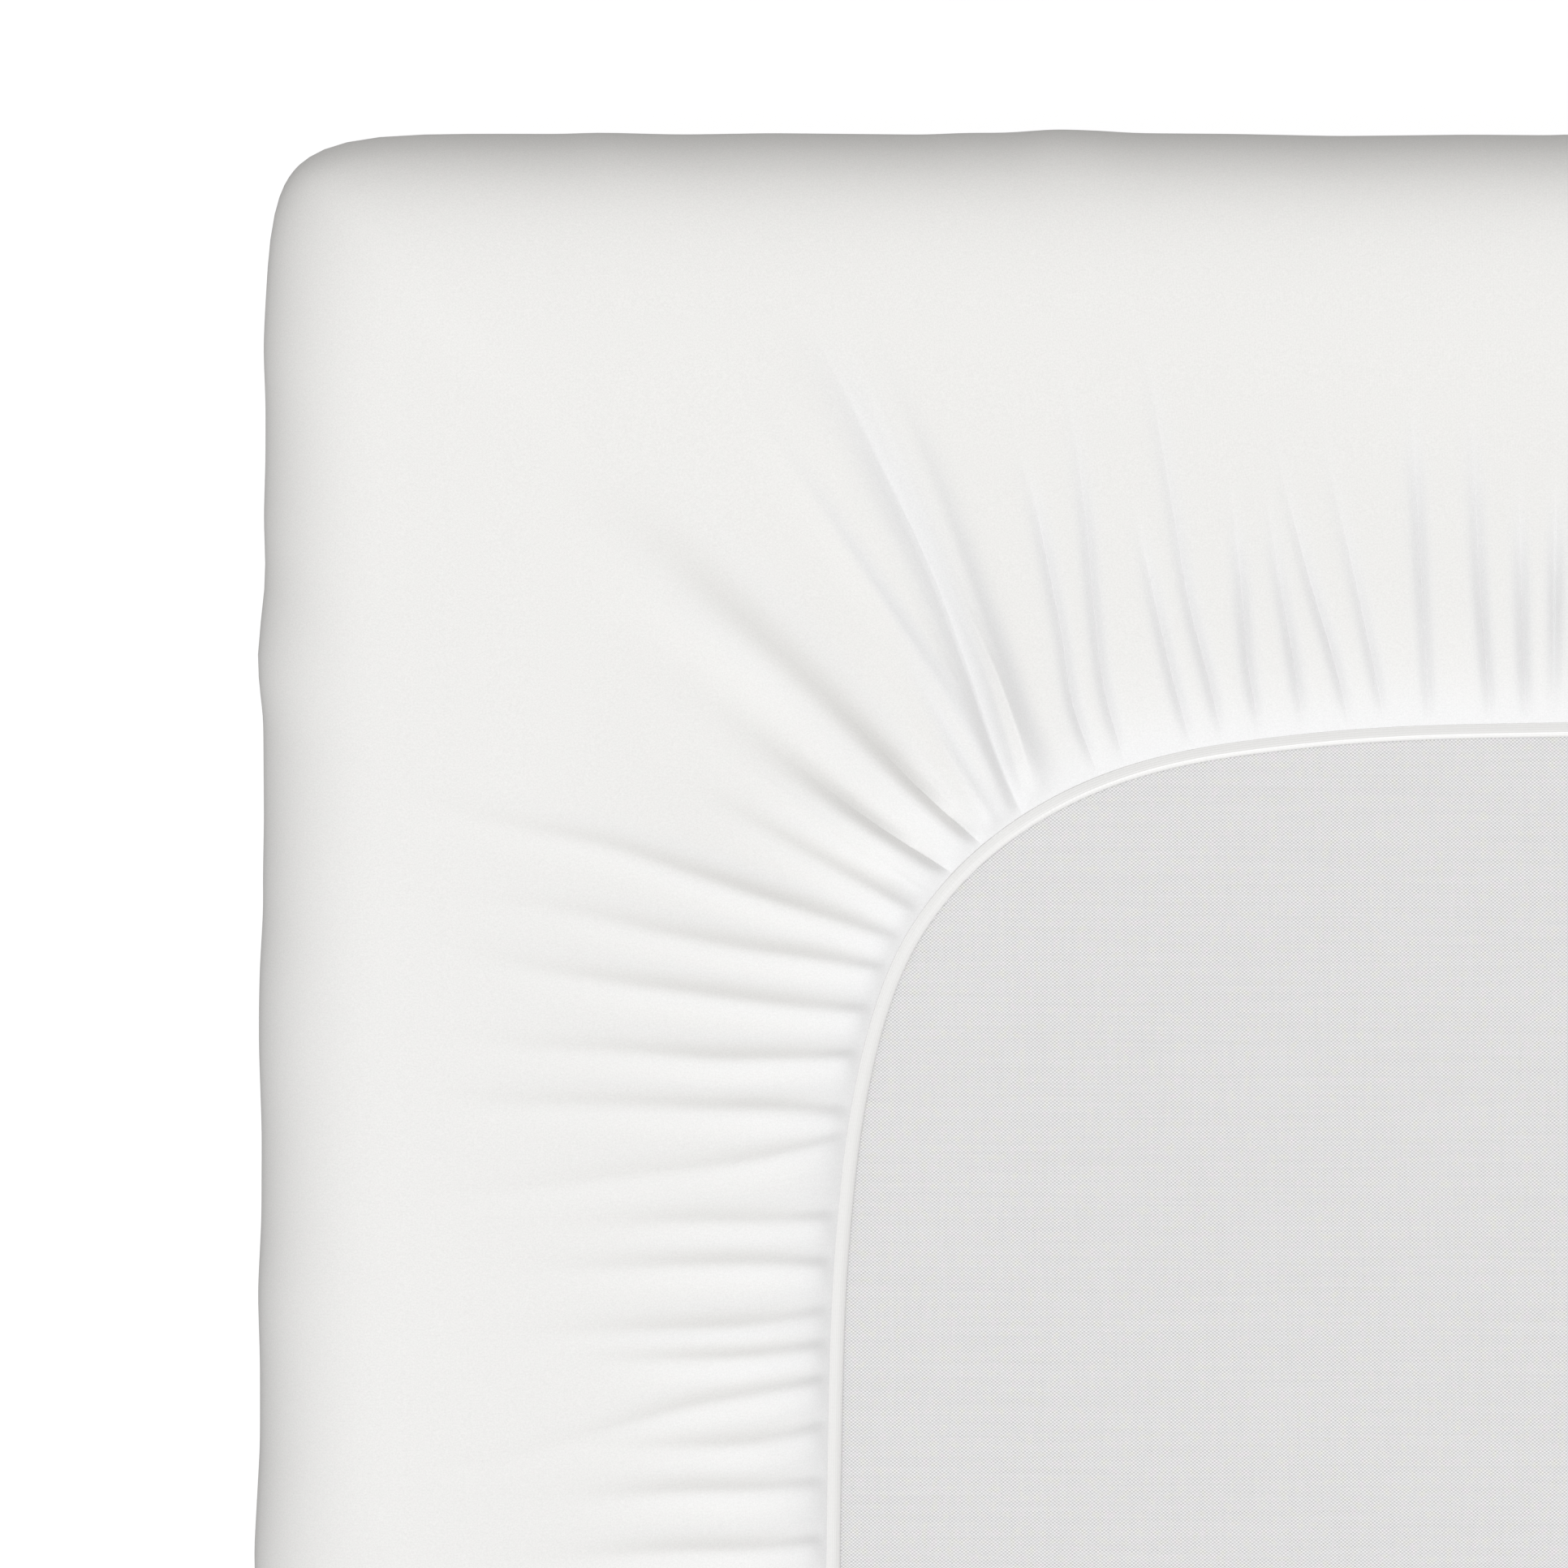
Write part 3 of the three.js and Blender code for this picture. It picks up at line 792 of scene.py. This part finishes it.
def side_rows(plan, side_top):
    """The skirt's rows from the height of its top edge down its side and round its foot."""
    side_foot = FOOT_SEAM + FOOT_DOWN
    rows = []
    for step in range(1, SIDE_ROWS + 1):
        share = step / SIDE_ROWS
        swell = plan.bulge * (1 - BULGE_LOST * share) + SIDE_SWELL * math.sin(math.pi * share)
        rows.append((swell, side_top * (1 - share) + side_foot * share))
    for step in range(1, FOOT_ROWS + 1):
        angle = step / FOOT_ROWS * math.pi / 2
        swell = plan.bulge * (1 - BULGE_LOST) * math.cos(angle) - FOOT_ACROSS * (1 - math.cos(angle))
        level = FOOT_SEAM + FOOT_DOWN * (1 - math.sin(angle))
        rows.append((swell, np.full(len(plan.bases), level)))
    return np.array([
        np.column_stack([plan.edge + plan.edge_out * swell[:, None], level]) for swell, level in rows
    ])


SIDE_QUICKENING = 0.1  # how much sooner the cloth has risen from the binding along a side
LEVEL_FROM, LEVEL_TO = 16, 110  # how far out from the hem it goes over to the top's level
PINCH_SHARE, PINCH_START, PINCH_FADE = 0.62, 3, 5  # how much of the rise a pinch takes, and where
FOLDS_START = 4.6  # how far out from the hem the gathers are all there
FOLDS_END, FOLDS_FADE = 4, 30  # how far in from the outline they are gone, and start to go
GROOVE_SHARE, GROOVE_FLOOR = 0.75, 0.6  # the most of the cloth's height that a groove takes
SIDE_COOL, MOST_COOL = 0.28, 0.9  # how cool the colour is along a side, and at most
HEM_COOL_RUN, HEM_COOL_POWER = 10.5, 2.2  # how its coolness by the binding fades
BULGE_RUN = 30  # how far in from the outline the side's bulges reach


def plain_level(from_hem, side, sizes):
    """The cloth's height at the hem and over the mattress, without its gathers. side is 1 where
    the hem runs along a side, and 0 at an end."""
    start = HEM_LEVEL + SIDE_HEM_LEVEL * side
    puff = (sizes.puff + sizes.side_puff * side) / MM
    run = sizes.puff_run / MM * (1 - SIDE_QUICKENING * side)
    level = start + puff * (1 - np.exp(-from_hem / run))
    return start, level + (TOP_LEVEL - start - puff) * smooth(from_hem, LEVEL_FROM, LEVEL_TO)


def skirt_points(plan, sizes, folded):
    """The skirt's outer face as points (rows, columns, 3), with how far in from the outline and
    out from the hem they lie and how cool their colour is, which in the gathers is painted
    shade. folded is whether it has its gathers."""
    depth = skirt_depths(plan)
    places, flat = plan.point(depth)
    inset = np.clip(soft_inset(flat[..., 0], flat[..., 1]), 0, None)
    from_hem = depth - plan.start
    around = places % plan.hem.length
    side = (1 - plan.hem.at(around, plan.hem.out)[..., 1] ** 2) ** 2
    start, level = plain_level(from_hem, side, sizes)
    cool = np.zeros(level.shape)
    if folded:
        bend = plan.hem.at(around, plan.hem.bend)
        folds, pinch, cool = gathered_height(plan, places, depth, bend)
        pinch = PINCH_SHARE * pinch * (level - start) * smooth(from_hem, 0, PINCH_START)
        level -= pinch * np.exp(-from_hem / PINCH_FADE)
        on_top = smooth(inset, FOLDS_END, FOLDS_FADE)
        folds = folds * smooth(from_hem, 0, FOLDS_START) * on_top
        level += np.maximum(folds, -GROOVE_SHARE * (level - GROOVE_FLOOR))
        # Painted shade tint: cooler in the grooves and beside the ridges, warmer on leaning lines. The
        # colour is also made cooler along the sides and by the binding.
        cool = np.clip(cool * on_top + SIDE_COOL * side, 0, MOST_COOL)
        by_hem = 1 / (1 + (np.clip(from_hem, 0, None) / HEM_COOL_RUN) ** HEM_COOL_POWER)
        cool = 1 - (1 - cool) * (1 - by_hem)
    endness = smooth(plan.edge_out[:, 1] ** 2, 0, 1)
    height = FACE + level - edge_fall(inset, endness, sizes)
    out = plan.bulge * smooth(BULGE_RUN - inset, 0, BULGE_RUN)
    flat = flat + plan.edge_out * out[..., None]
    rows = side_rows(plan, height[-1])
    cool = np.concatenate([cool, np.zeros((len(rows), cool.shape[1]))])
    top = np.concatenate([flat, height[..., None]], axis=2)
    return np.concatenate([top, rows]), inset, depth, cool


LYING_FROM, LYING_TO = 36, 60  # how far in from the outline the inner face comes to lie flat
LYING_LEVEL, SEAM_CLOTH = 0.4, 0.8  # its height over the mattress there, and its gap at the seam
TOP_ROWS_KEPT = (0, 2, 4, 6, 8, 11, 15, 19, 23)  # its rows on the underside, of the outer face's


def inner_face(plan, sizes):
    """The skirt's inner face: flat on the mattress, and then a cloth's thickness within its turns."""
    points, inset, _, _ = skirt_points(plan, sizes, folded=False)
    points = points[:, ::INNER_EVERY]
    inset = inset[:, ::INNER_EVERY]
    along = np.roll(points, -1, axis=1) - np.roll(points, 1, axis=1)
    down = np.gradient(points, axis=0)
    out = np.cross(along, down)
    out /= np.linalg.norm(out, axis=2)[..., None]
    out *= np.sign(out[len(inset) // 2, :1, 2:3])
    inner = points - out * (sizes.cloth / MM)
    lying = smooth(inset, LYING_FROM, LYING_TO)
    rows = len(inset)
    inner[:rows, :, 2] = inner[:rows, :, 2] * (1 - lying) + (FACE + LYING_LEVEL) * lying
    inner[-1] = points[-1] - out[-1] * SEAM_CLOTH
    last = len(points) - 1
    return inner[[*TOP_ROWS_KEPT, *range(TOP_ROWS_KEPT[-1] + 2, last, 2), last]]


def open_edges(bm, low, high):
    """The loop of a bmesh's open edges whose height is between two, in millimetres."""
    return [
        edge for edge in bm.edges
        if edge.is_boundary and low * MM < (edge.verts[0].co.z + edge.verts[1].co.z) / 2 < high * MM
    ]


# ---- Finishes ----
class Nodes:
    """Adds nodes to a tree, each with its inputs given by name, or by number as in i0."""

    def __init__(self, tree):
        self.tree = tree

    def add(self, kind, settings=(), **inputs):
        node = self.tree.nodes.new(kind)
        for key, value in dict(settings).items():
            setattr(node, key, value)
        for key, value in inputs.items():
            self.feed(node, int(key[1:]) if key[0] == "i" and key[1:].isdigit() else key, value)
        return node

    def feed(self, node, key, value):
        """Links a socket's value to a node's input, or sets a plain one."""
        socket = node.inputs[key]
        if isinstance(value, bpy.types.NodeSocket):
            self.tree.links.new(value, socket)
        else:
            socket.default_value = value

    def math(self, operation, a, b=0.0, c=0.0):
        return self.add("ShaderNodeMath", {"operation": operation}, i0=a, i1=b, i2=c).outputs[0]

    def vector(self, operation, a, b=(0, 0, 0)):
        return self.add("ShaderNodeVectorMath", {"operation": operation}, i0=a, i1=b).outputs[0]

    def split(self, vector):
        return self.add("ShaderNodeSeparateXYZ", Vector=vector).outputs

    def noise(self, vector, scale, detail=2.0, roughness=0.5, output="Fac"):
        return self.add(
            "ShaderNodeTexNoise", {"noise_dimensions": "3D"}, Vector=vector, Scale=scale,
            Detail=detail, Roughness=roughness,
        ).outputs[output]

    def wave(self, value, pitch=None):
        """The cosine of a number of turns, or of a length in turns of this pitch."""
        turn = 2 * math.pi if pitch is None else 2 * math.pi / pitch
        return self.math("COSINE", self.math("MULTIPLY", value, turn))

    def wavering(self, vector, scale, amount):
        """A place moved about a little, up to half an amount each way."""
        shift = self.vector("SUBTRACT", self.noise(vector, scale, output="Color"), (0.5, 0.5, 0.5))
        return self.vector("ADD", vector, self.vector("MULTIPLY", shift, amount))

    def spread(self, value, low, high, to_low, to_high):
        return self.add(
            "ShaderNodeMapRange", {"clamp": True}, i0=value, i1=low, i2=high, i3=to_low, i4=to_high
        ).outputs[0]

    def mix(self, share, a, b):
        """A mix of two colours."""
        return self.add("ShaderNodeMix", {"data_type": "RGBA"}, i0=share, i6=a, i7=b).outputs[2]


FLOAT, VECTOR, COLOR = "NodeSocketFloat", "NodeSocketVector", "NodeSocketColor"


def node_group(name, inputs, output, kind):
    """An empty shader group with named inputs and one output: its nodes, what it is given, and
    the node that takes its result."""
    tree = bpy.data.node_groups.new(name, "ShaderNodeTree")
    for label, socket_type, default in inputs:
        socket = tree.interface.new_socket(label, in_out="INPUT", socket_type=socket_type)
        if default is not None:
            socket.default_value = default
    tree.interface.new_socket(output, in_out="OUTPUT", socket_type=kind)
    nodes = Nodes(tree)
    return nodes, nodes.add("NodeGroupInput").outputs, nodes.add("NodeGroupOutput")


def weave_group():
    """Plain weave: threads over and under each other, with slubs and thread-to-thread unevenness."""
    inputs = [
        ("Vector", VECTOR, None), ("Across", FLOAT, 0.001), ("Along", FLOAT, 0.001),
        ("Unevenness", FLOAT, 0.5),
    ]
    nodes, given, result = node_group("plain_weave", inputs, "Height", FLOAT)
    moved = nodes.split(nodes.wavering(given["Vector"], 420.0, (0.00026, 0.00022, 0.0)))
    across, along = (
        nodes.wave(nodes.math("DIVIDE", moved[axis], given[pitch]))
        for axis, pitch in ((0, "Across"), (1, "Along"))
    )
    rows, columns = (
        nodes.noise(nodes.vector("MULTIPLY", given["Vector"], stretch), 1.0)
        for stretch in ((30.0, 1900.0, 30.0), (1500.0, 70.0, 70.0))
    )
    slubs = nodes.math("ADD", nodes.math("MULTIPLY", rows, 0.62), nodes.math("MULTIPLY", columns, 0.38))
    slubs = nodes.math("MULTIPLY", nodes.math("SUBTRACT", slubs, 0.5), given["Unevenness"])
    strength = nodes.spread(nodes.noise(given["Vector"], 700.0), 0.3, 0.7, 0.55, 1.2)
    checks = nodes.math("MULTIPLY", nodes.math("MULTIPLY", across, along), strength)
    threads = nodes.math("MULTIPLY_ADD", checks, 0.5, 0.5)
    nodes.feed(result, "Height", nodes.math("ADD", threads, slubs))


def knit_group():
    """Fine jersey: upright wales of looped stitches, slightly uneven."""
    inputs = [("Vector", VECTOR, None), ("Wale", FLOAT, 0.0008), ("Course", FLOAT, 0.0007)]
    nodes, given, result = node_group("fine_knit", inputs, "Height", FLOAT)
    moved = nodes.split(nodes.wavering(given["Vector"], 160.0, (0.0005, 0.0009, 0.0)))
    turns = nodes.math("DIVIDE", moved[0], given["Wale"])
    wale = nodes.wave(turns)
    arms = nodes.math("PINGPONG", turns, 0.5)
    loops = nodes.wave(nodes.math("ADD", nodes.math("DIVIDE", moved[1], given["Course"]), arms))
    both = nodes.math("ADD", nodes.math("MULTIPLY", wale, 0.32), nodes.math("MULTIPLY", loops, 0.18))
    nodes.feed(result, "Height", nodes.math("ADD", both, 0.5))


def mottle_group():
    """Slow, slight changes of tone in a cloth's dye, and fine fibre specks."""
    inputs = [
        ("Vector", VECTOR, None), ("Color", COLOR, (1, 1, 1, 1)), ("Tone", FLOAT, 0.02),
        ("Tint", FLOAT, 0.01),
    ]
    nodes, given, result = node_group("cloth_mottle", inputs, "Color", COLOR)
    slow = nodes.noise(given["Vector"], 24.0, 3.0)
    fibres = nodes.noise(given["Vector"], 2200.0, 2.0, 0.6)
    drift = nodes.math("MULTIPLY_ADD", fibres, 0.93, nodes.math("MULTIPLY_ADD", slow, 0.07, -0.5))
    gain = nodes.math("ADD", nodes.math("MULTIPLY", drift, given["Tone"]), 1.0)
    tint = nodes.noise(nodes.vector("ADD", given["Vector"], (3.1, 1.7, 0.4)), 520.0)
    tint = nodes.math("MULTIPLY", nodes.math("SUBTRACT", tint, 0.5), given["Tint"])
    split = nodes.add("ShaderNodeSeparateColor", Color=given["Color"]).outputs
    red = nodes.math("MULTIPLY", split[0], nodes.math("ADD", gain, tint))
    green = nodes.math("MULTIPLY", split[1], nodes.math("SUBTRACT", gain, tint))
    blue = nodes.math("MULTIPLY", split[2], gain)
    mixed = nodes.add("ShaderNodeCombineColor", i0=red, i1=green, i2=blue).outputs[0]
    nodes.feed(result, "Color", mixed)


GROUPS = {"plain_weave": weave_group, "fine_knit": knit_group, "cloth_mottle": mottle_group}


class Cloth:
    """A cloth's material, with its shader and the places that its patterns read."""

    def __init__(self, name, colour, roughness, gloss=0.25):
        self.material = bpy.data.materials.new(name)
        self.material.use_nodes = True
        self.nodes = Nodes(self.material.node_tree)
        self.shader = self.material.node_tree.nodes["Principled BSDF"]
        self.shader.inputs["Roughness"].default_value = roughness
        self.shader.inputs["Specular IOR Level"].default_value = gloss
        self.where = self.nodes.add("ShaderNodeTexCoord").outputs
        self.colour = (*colour, 1.0)

    def group(self, name, where="Object", **inputs):
        """What a group that the cloths share gives at these places. Each is built once."""
        if name not in bpy.data.node_groups:
            GROUPS[name]()
        tree = bpy.data.node_groups[name]
        node = self.nodes.add("ShaderNodeGroup", {"node_tree": tree}, Vector=self.where[where], **inputs)
        return node.outputs[0]

    def cover(self, height, shade, relief, **mottle):
        """Shades the mottled colour by the weave's height, and gives the weave its relief. shade is
        the lowest and highest height and the gains there, and relief a depth and a strength."""
        dyed = self.group("cloth_mottle", Color=self.colour, **mottle)
        gain = self.nodes.spread(height, *shade)
        scale = {"operation": "SCALE"}
        toned = self.nodes.add("ShaderNodeVectorMath", scale, Vector=dyed, Scale=gain).outputs[0]
        self.nodes.feed(self.shader, "Base Color", toned)
        bump = self.nodes.add("ShaderNodeBump", Height=height, Distance=relief[0], Strength=relief[1])
        self.nodes.feed(self.shader, "Normal", bump.outputs[0])
        return self.material


def ticking_material(finishes):
    cloth = Cloth("woven_ticking", finishes.ticking, 0.9)
    height = cloth.group(
        "plain_weave", Across=finishes.ticking_across, Along=finishes.ticking_along, Unevenness=0.25
    )
    nodes = cloth.nodes
    for shift, patch in ((0.0, (0.700, 0.673, 0.690, 1.0)), (2.3, (0.688, 0.686, 0.655, 1.0))):
        place = nodes.vector("ADD", cloth.where["Object"], (shift, shift, 0.0))
        share = nodes.spread(nodes.noise(place, 420.0), 0.5, 0.72, 0.0, 1.0)
        cloth.colour = nodes.mix(share, cloth.colour, patch)
    return cloth.cover(height, (-0.1, 1.1, 0.64, 1.36), (0.00012, 0.5), Tone=0.12, Tint=0.012)


def jersey_material(finishes):
    cloth = Cloth("white_jersey", finishes.jersey, 0.82)
    height = cloth.group("fine_knit", "UV", Wale=0.00075, Course=0.0006)
    # The cool attribute mixes in the painted shade tint of the gathers, and the cooler colour along the
    # sides and by the binding.
    cool = cloth.nodes.add("ShaderNodeAttribute", {"attribute_name": "cool"}).outputs["Fac"]
    cloth.colour = cloth.nodes.mix(cool, cloth.colour, (*finishes.jersey_shade_and_hem_tint, 1.0))
    return cloth.cover(height, (0.0, 1.0, 0.996, 1.004), (0.000015, 0.3), Tone=0.22, Tint=0.012)


def tape_material(finishes):
    cloth = Cloth("elastic_tape", finishes.tape, 0.38, gloss=0.95)
    nodes = cloth.nodes
    place = nodes.split(cloth.where["UV"])
    ribs, beat = nodes.wave(place[1], 0.00062), nodes.wave(place[0], 0.0011)
    height = nodes.math("MULTIPLY_ADD", beat, 0.25, ribs)
    return cloth.cover(height, (-1.2, 1.2, 0.975, 1.015), (0.00004, 0.4), Tone=0.08, Tint=0.008)


def panel_material(finishes):
    cloth = Cloth("panel_cloth", finishes.panel, 0.88)
    height = cloth.group("plain_weave", Across=0.0006, Along=0.0006, Unevenness=0.4)
    return cloth.cover(height, (0.0, 1.0, 0.96, 1.02), (0.00006, 0.5), Tone=0.03, Tint=0.01)


# ---- The pieces ----
SAME_LEVEL = 1e-6  # heights nearer than this are the same, in metres


def rounded_block(box, corner, edge, corner_segments, edge_segments):
    """A block that fills a box, with its uprights rounded and then its top and foot edges."""
    low, high = box
    bm = bmesh.new()
    bmesh.ops.create_cube(bm, size=1)
    bmesh.ops.scale(bm, vec=high - low, verts=bm.verts)
    bmesh.ops.translate(bm, vec=(low + high) / 2, verts=bm.verts)
    for upright, offset, segments in ((True, corner, corner_segments), (False, edge, edge_segments)):
        lines = [
            line for line in bm.edges
            if (abs(line.verts[0].co.z - line.verts[1].co.z) > SAME_LEVEL) == upright
        ]
        bmesh.ops.bevel(
            bm, geom=lines, affect="EDGES", offset=offset, segments=segments, profile=0.5,
            material=-1,
        )
    return bm


class FITTED_PAD_OT_mattress(bpy.types.Operator):
    """Add the crib mattress, in its woven ticking"""

    bl_idname = "fitted_pad.mattress"
    bl_label = "Mattress"

    def execute(self, context):
        bm = rounded_block(MATTRESS_BOX, corner=0.044, edge=0.0279, corner_segments=12, edge_segments=8)
        material = ticking_material(context.scene.pad_finishes)
        piece = finish_piece("crib_mattress", bm, material, "ticking", "mattress")
        return {"FINISHED"}


class FITTED_PAD_OT_panel(bpy.types.Operator):
    """Add the padded panel, which lies face down on the surface"""

    bl_idname = "fitted_pad.panel"
    bl_label = "Padded panel"

    def execute(self, context):
        bm = rounded_block(PANEL_BOX, corner=0.0219, edge=0.0033, corner_segments=10, edge_segments=5)
        material = panel_material(context.scene.pad_finishes)
        piece = finish_piece("padded_panel", bm, material, "panel_cloth", "top_panel")
        return {"FINISHED"}


# The binding's section: out from the mouth's edge as a share of the binding's width, and up from
# the mattress as a share of its height along a side and along an end.
BINDING_SECTION = (
    (0.0, 0.05, 0.05), (0.007, 0.125, 0.167), (0.024, 0.27, 0.354), (0.049, 0.417, 0.50),
    (0.076, 0.517, 0.604), (0.102, 0.583, 0.658), (0.151, 0.667, 0.708), (0.20, 0.742, 0.742),
    (0.256, 0.812, 0.767), (0.317, 0.879, 0.775), (0.39, 0.933, 0.765), (0.476, 0.975, 0.742),
    (0.585, 1.0, 0.70), (0.73, 1.0, 0.633), (0.88, 0.98, 0.554), (1.0, 0.945, 0.487),
    (1.0, 0.10, 0.10), (0.6, 0.03, 0.03),
)
BINDING_STEP = 1.6  # between the binding's points along the hem
BINDING_GAP = 0.06  # between the binding and the mattress
BINDING_GIRTH = 12.0  # round the binding's section


class FITTED_PAD_OT_binding(bpy.types.Operator):
    """Add the elastic binding, folded over the skirt's hem"""

    bl_idname = "fitted_pad.binding"
    bl_label = "Elastic binding"

    def execute(self, context):
        sizes, finishes = context.scene.pad_sizes, context.scene.pad_finishes
        hem = Ring(mouth_quarter())
        count = int(hem.length / BINDING_STEP)
        places = np.arange(count) / count * hem.length
        point = hem.at(places, hem.points)
        out = hem.at(places, hem.out)
        wander = hem_wander(places, hem, sizes.seed)
        height = sizes.binding_height / MM
        width = tape_width(out)
        endness = out[:, 1] ** 2
        rows = [
            np.column_stack([
                point + out * (wander + across * width)[:, None],
                FACE + BINDING_GAP + height * (up * (1 - endness) + up_end * endness),
            ])
            for across, up, up_end in BINDING_SECTION
        ]
        section = np.array(BINDING_SECTION)[:, :2] * (TAPE_AT_SIDE, height)
        lengths = np.cumsum(np.hypot(*np.diff(section, axis=0).T))
        uv = (np.append(places, hem.length) * MM, np.array([0, *lengths, BINDING_GIRTH]) * MM)
        bm = ring_bmesh(np.array(rows), uv, wrap_rows=True)
        finish_piece("hem_binding", bm, tape_material(finishes), "binding_tape", "elastic_binding")
        return {"FINISHED"}


SHEET_WIDTH = 0.3  # of the skirt's flat strip, in metres
GIRTH_COLUMN = 200  # the column along which the cloth's stitches are measured out
UPPER_EDGES, LOWER_EDGES = (100, 200), (0, 60)  # the heights of the skirt's two edges lie in these


class FITTED_PAD_OT_skirt(bpy.types.Operator):
    """Add the skirt of white stretch jersey, gathered at its hem"""

    bl_idname = "fitted_pad.skirt"
    bl_label = "Skirt"

    def execute(self, context):
        sizes, finishes = context.scene.pad_sizes, context.scene.pad_finishes
        plan = SkirtPlan(sizes)
        outer, _, depth, cool = skirt_points(plan, sizes, folded=True)
        lengths = np.linalg.norm(np.diff(outer[:, GIRTH_COLUMN], axis=0), axis=1)
        girth = np.concatenate([[0], np.cumsum(lengths)])
        around = np.append(plan.edge_places, plan.edge_places[0] + plan.outline.length)
        bm = ring_bmesh(outer, (around * MM, girth * MM), creases=plan.creases(depth), cool=cool)
        inner = inner_face(plan, sizes)
        few = np.append(around[:-1:INNER_EVERY], around[-1]) * MM
        join(bm, ring_bmesh(inner, (few, np.linspace(0, SHEET_WIDTH, len(inner)))))
        for low, high in (UPPER_EDGES, LOWER_EDGES):
            edges = open_edges(bm, low, high)
            bmesh.ops.bridge_loops(bm, edges=edges)
            for edge in edges:
                edge.smooth = False
        piece = finish_piece("gathered_skirt", bm, jersey_material(finishes), "skirt_jersey", "skirt")
        return {"FINISHED"}


# ---- The stage ----
WHITE, FLOOR_GREY = (1, 1, 1, 1), (0.2, 0.2, 0.2, 1)
DOME_COLOUR, KEY_COLOUR = (1.005, 1.0, 0.995, 1), (0.985, 1.0, 1.015)
FLOOR_SIZE = 60  # metres
FLOOR_GAP = 0.0002  # the floor lies this far under the pad
FLOOR_GLOW = 0.9  # of white, before the light that falls on it
SENSOR_WIDTH = 36.0


def cleared(owner):
    """The emptied shader tree of a material or a world, as nodes."""
    owner.use_nodes = True
    owner.node_tree.nodes.clear()
    return Nodes(owner.node_tree)


def camera_only(nodes, seen, unseen, end):
    """Ends a tree in a shader that the camera sees, mixed with what the light meets."""
    path = nodes.add("ShaderNodeLightPath").outputs["Is Camera Ray"]
    mixed = nodes.add("ShaderNodeMixShader", i0=path, i1=unseen, i2=seen).outputs[0]
    nodes.add(end, Surface=mixed)


class FITTED_PAD_OT_stage(bpy.types.Operator):
    """Add the pale floor, the soft light and the camera"""

    bl_idname = "fitted_pad.stage"
    bl_label = "Stage"

    def execute(self, context):
        scene, settings = context.scene, context.scene.pad_stage
        self.add_floor(scene)
        scene.world = bpy.data.worlds.new("studio")
        nodes = cleared(scene.world)
        dome, white = (
            nodes.add("ShaderNodeBackground", Color=colour, Strength=strength).outputs[0]
            for colour, strength in ((DOME_COLOUR, settings.dome), (WHITE, 1.0))
        )
        camera_only(nodes, white, dome, "ShaderNodeOutputWorld")

        key = bpy.data.objects.new("key", bpy.data.lights.new("key", "SUN"))
        key.data.energy = settings.key
        key.data.color = KEY_COLOUR
        key.data.angle = settings.key_softness
        key.rotation_euler = (settings.key_tilt, 0, 0)
        scene.collection.objects.link(key)

        camera = bpy.data.objects.new("camera", bpy.data.cameras.new("camera"))
        camera.data.sensor_width = SENSOR_WIDTH
        camera.data.lens = settings.lens
        distance = settings.view_width * settings.lens / SENSOR_WIDTH
        camera.location = (*settings.view_centre, (FACE + TOP_LEVEL) * MM + distance)
        camera.data.clip_end = 100.0
        scene.collection.objects.link(camera)
        scene.camera = camera
        scene.view_settings.view_transform = "Standard"
        return {"FINISHED"}

    def add_floor(self, scene):
        """Adds a wide floor that looks nearly white, and throws little light back."""
        bm = bmesh.new()
        bmesh.ops.create_grid(bm, x_segments=1, y_segments=1, size=FLOOR_SIZE)
        mesh = bpy.data.meshes.new("floor")
        bm.to_mesh(mesh)
        bm.free()
        floor = bpy.data.objects.new("floor", mesh)
        floor.location.z = -FLOOR_GAP
        scene.collection.objects.link(floor)
        material = bpy.data.materials.new("pale_floor")
        nodes = cleared(material)
        white = nodes.add("ShaderNodeEmission", Color=WHITE, Strength=FLOOR_GLOW).outputs[0]
        shade, grey = (
            nodes.add("ShaderNodeBsdfDiffuse", Color=FLOOR_GREY).outputs[0] for _ in range(2)
        )
        seen = nodes.add("ShaderNodeAddShader", i0=white, i1=shade).outputs[0]
        camera_only(nodes, seen, grey, "ShaderNodeOutputMaterial")
        mesh.materials.append(material)


class FITTED_PAD_PT_sidebar(bpy.types.Panel):
    """Lists the pieces"""

    bl_label = "Mattress pad"
    bl_idname = "FITTED_PAD_PT_sidebar"
    bl_space_type = "VIEW_3D"
    bl_region_type = "UI"
    bl_category = "Mattress pad"

    def draw(self, context):
        layout = self.layout
        for operator in OPERATORS:
            layout.operator(operator.bl_idname)
        for group in (context.scene.pad_sizes, context.scene.pad_finishes, context.scene.pad_stage):
            box = layout.box()
            for key in group.__annotations__:
                box.prop(group, key)


OPERATORS = (
    FITTED_PAD_OT_stage,
    FITTED_PAD_OT_mattress,
    FITTED_PAD_OT_panel,
    FITTED_PAD_OT_binding,
    FITTED_PAD_OT_skirt,
)
CLASSES = (PadSizes, PadFinishes, PadStage, *OPERATORS, FITTED_PAD_PT_sidebar)


def register():
    for cls in CLASSES:
        bpy.utils.register_class(cls)
    bpy.types.Scene.pad_sizes = PointerProperty(type=PadSizes)
    bpy.types.Scene.pad_finishes = PointerProperty(type=PadFinishes)
    bpy.types.Scene.pad_stage = PointerProperty(type=PadStage)


def unregister():
    for name in ("pad_sizes", "pad_finishes", "pad_stage"):
        delattr(bpy.types.Scene, name)
    for cls in reversed(CLASSES):
        bpy.utils.unregister_class(cls)


def main():
    register()
    bpy.ops.fitted_pad.stage()
    bpy.ops.fitted_pad.mattress()
    bpy.ops.fitted_pad.panel()
    bpy.ops.fitted_pad.binding()
    bpy.ops.fitted_pad.skirt()


if __name__ == "__main__":
    main()
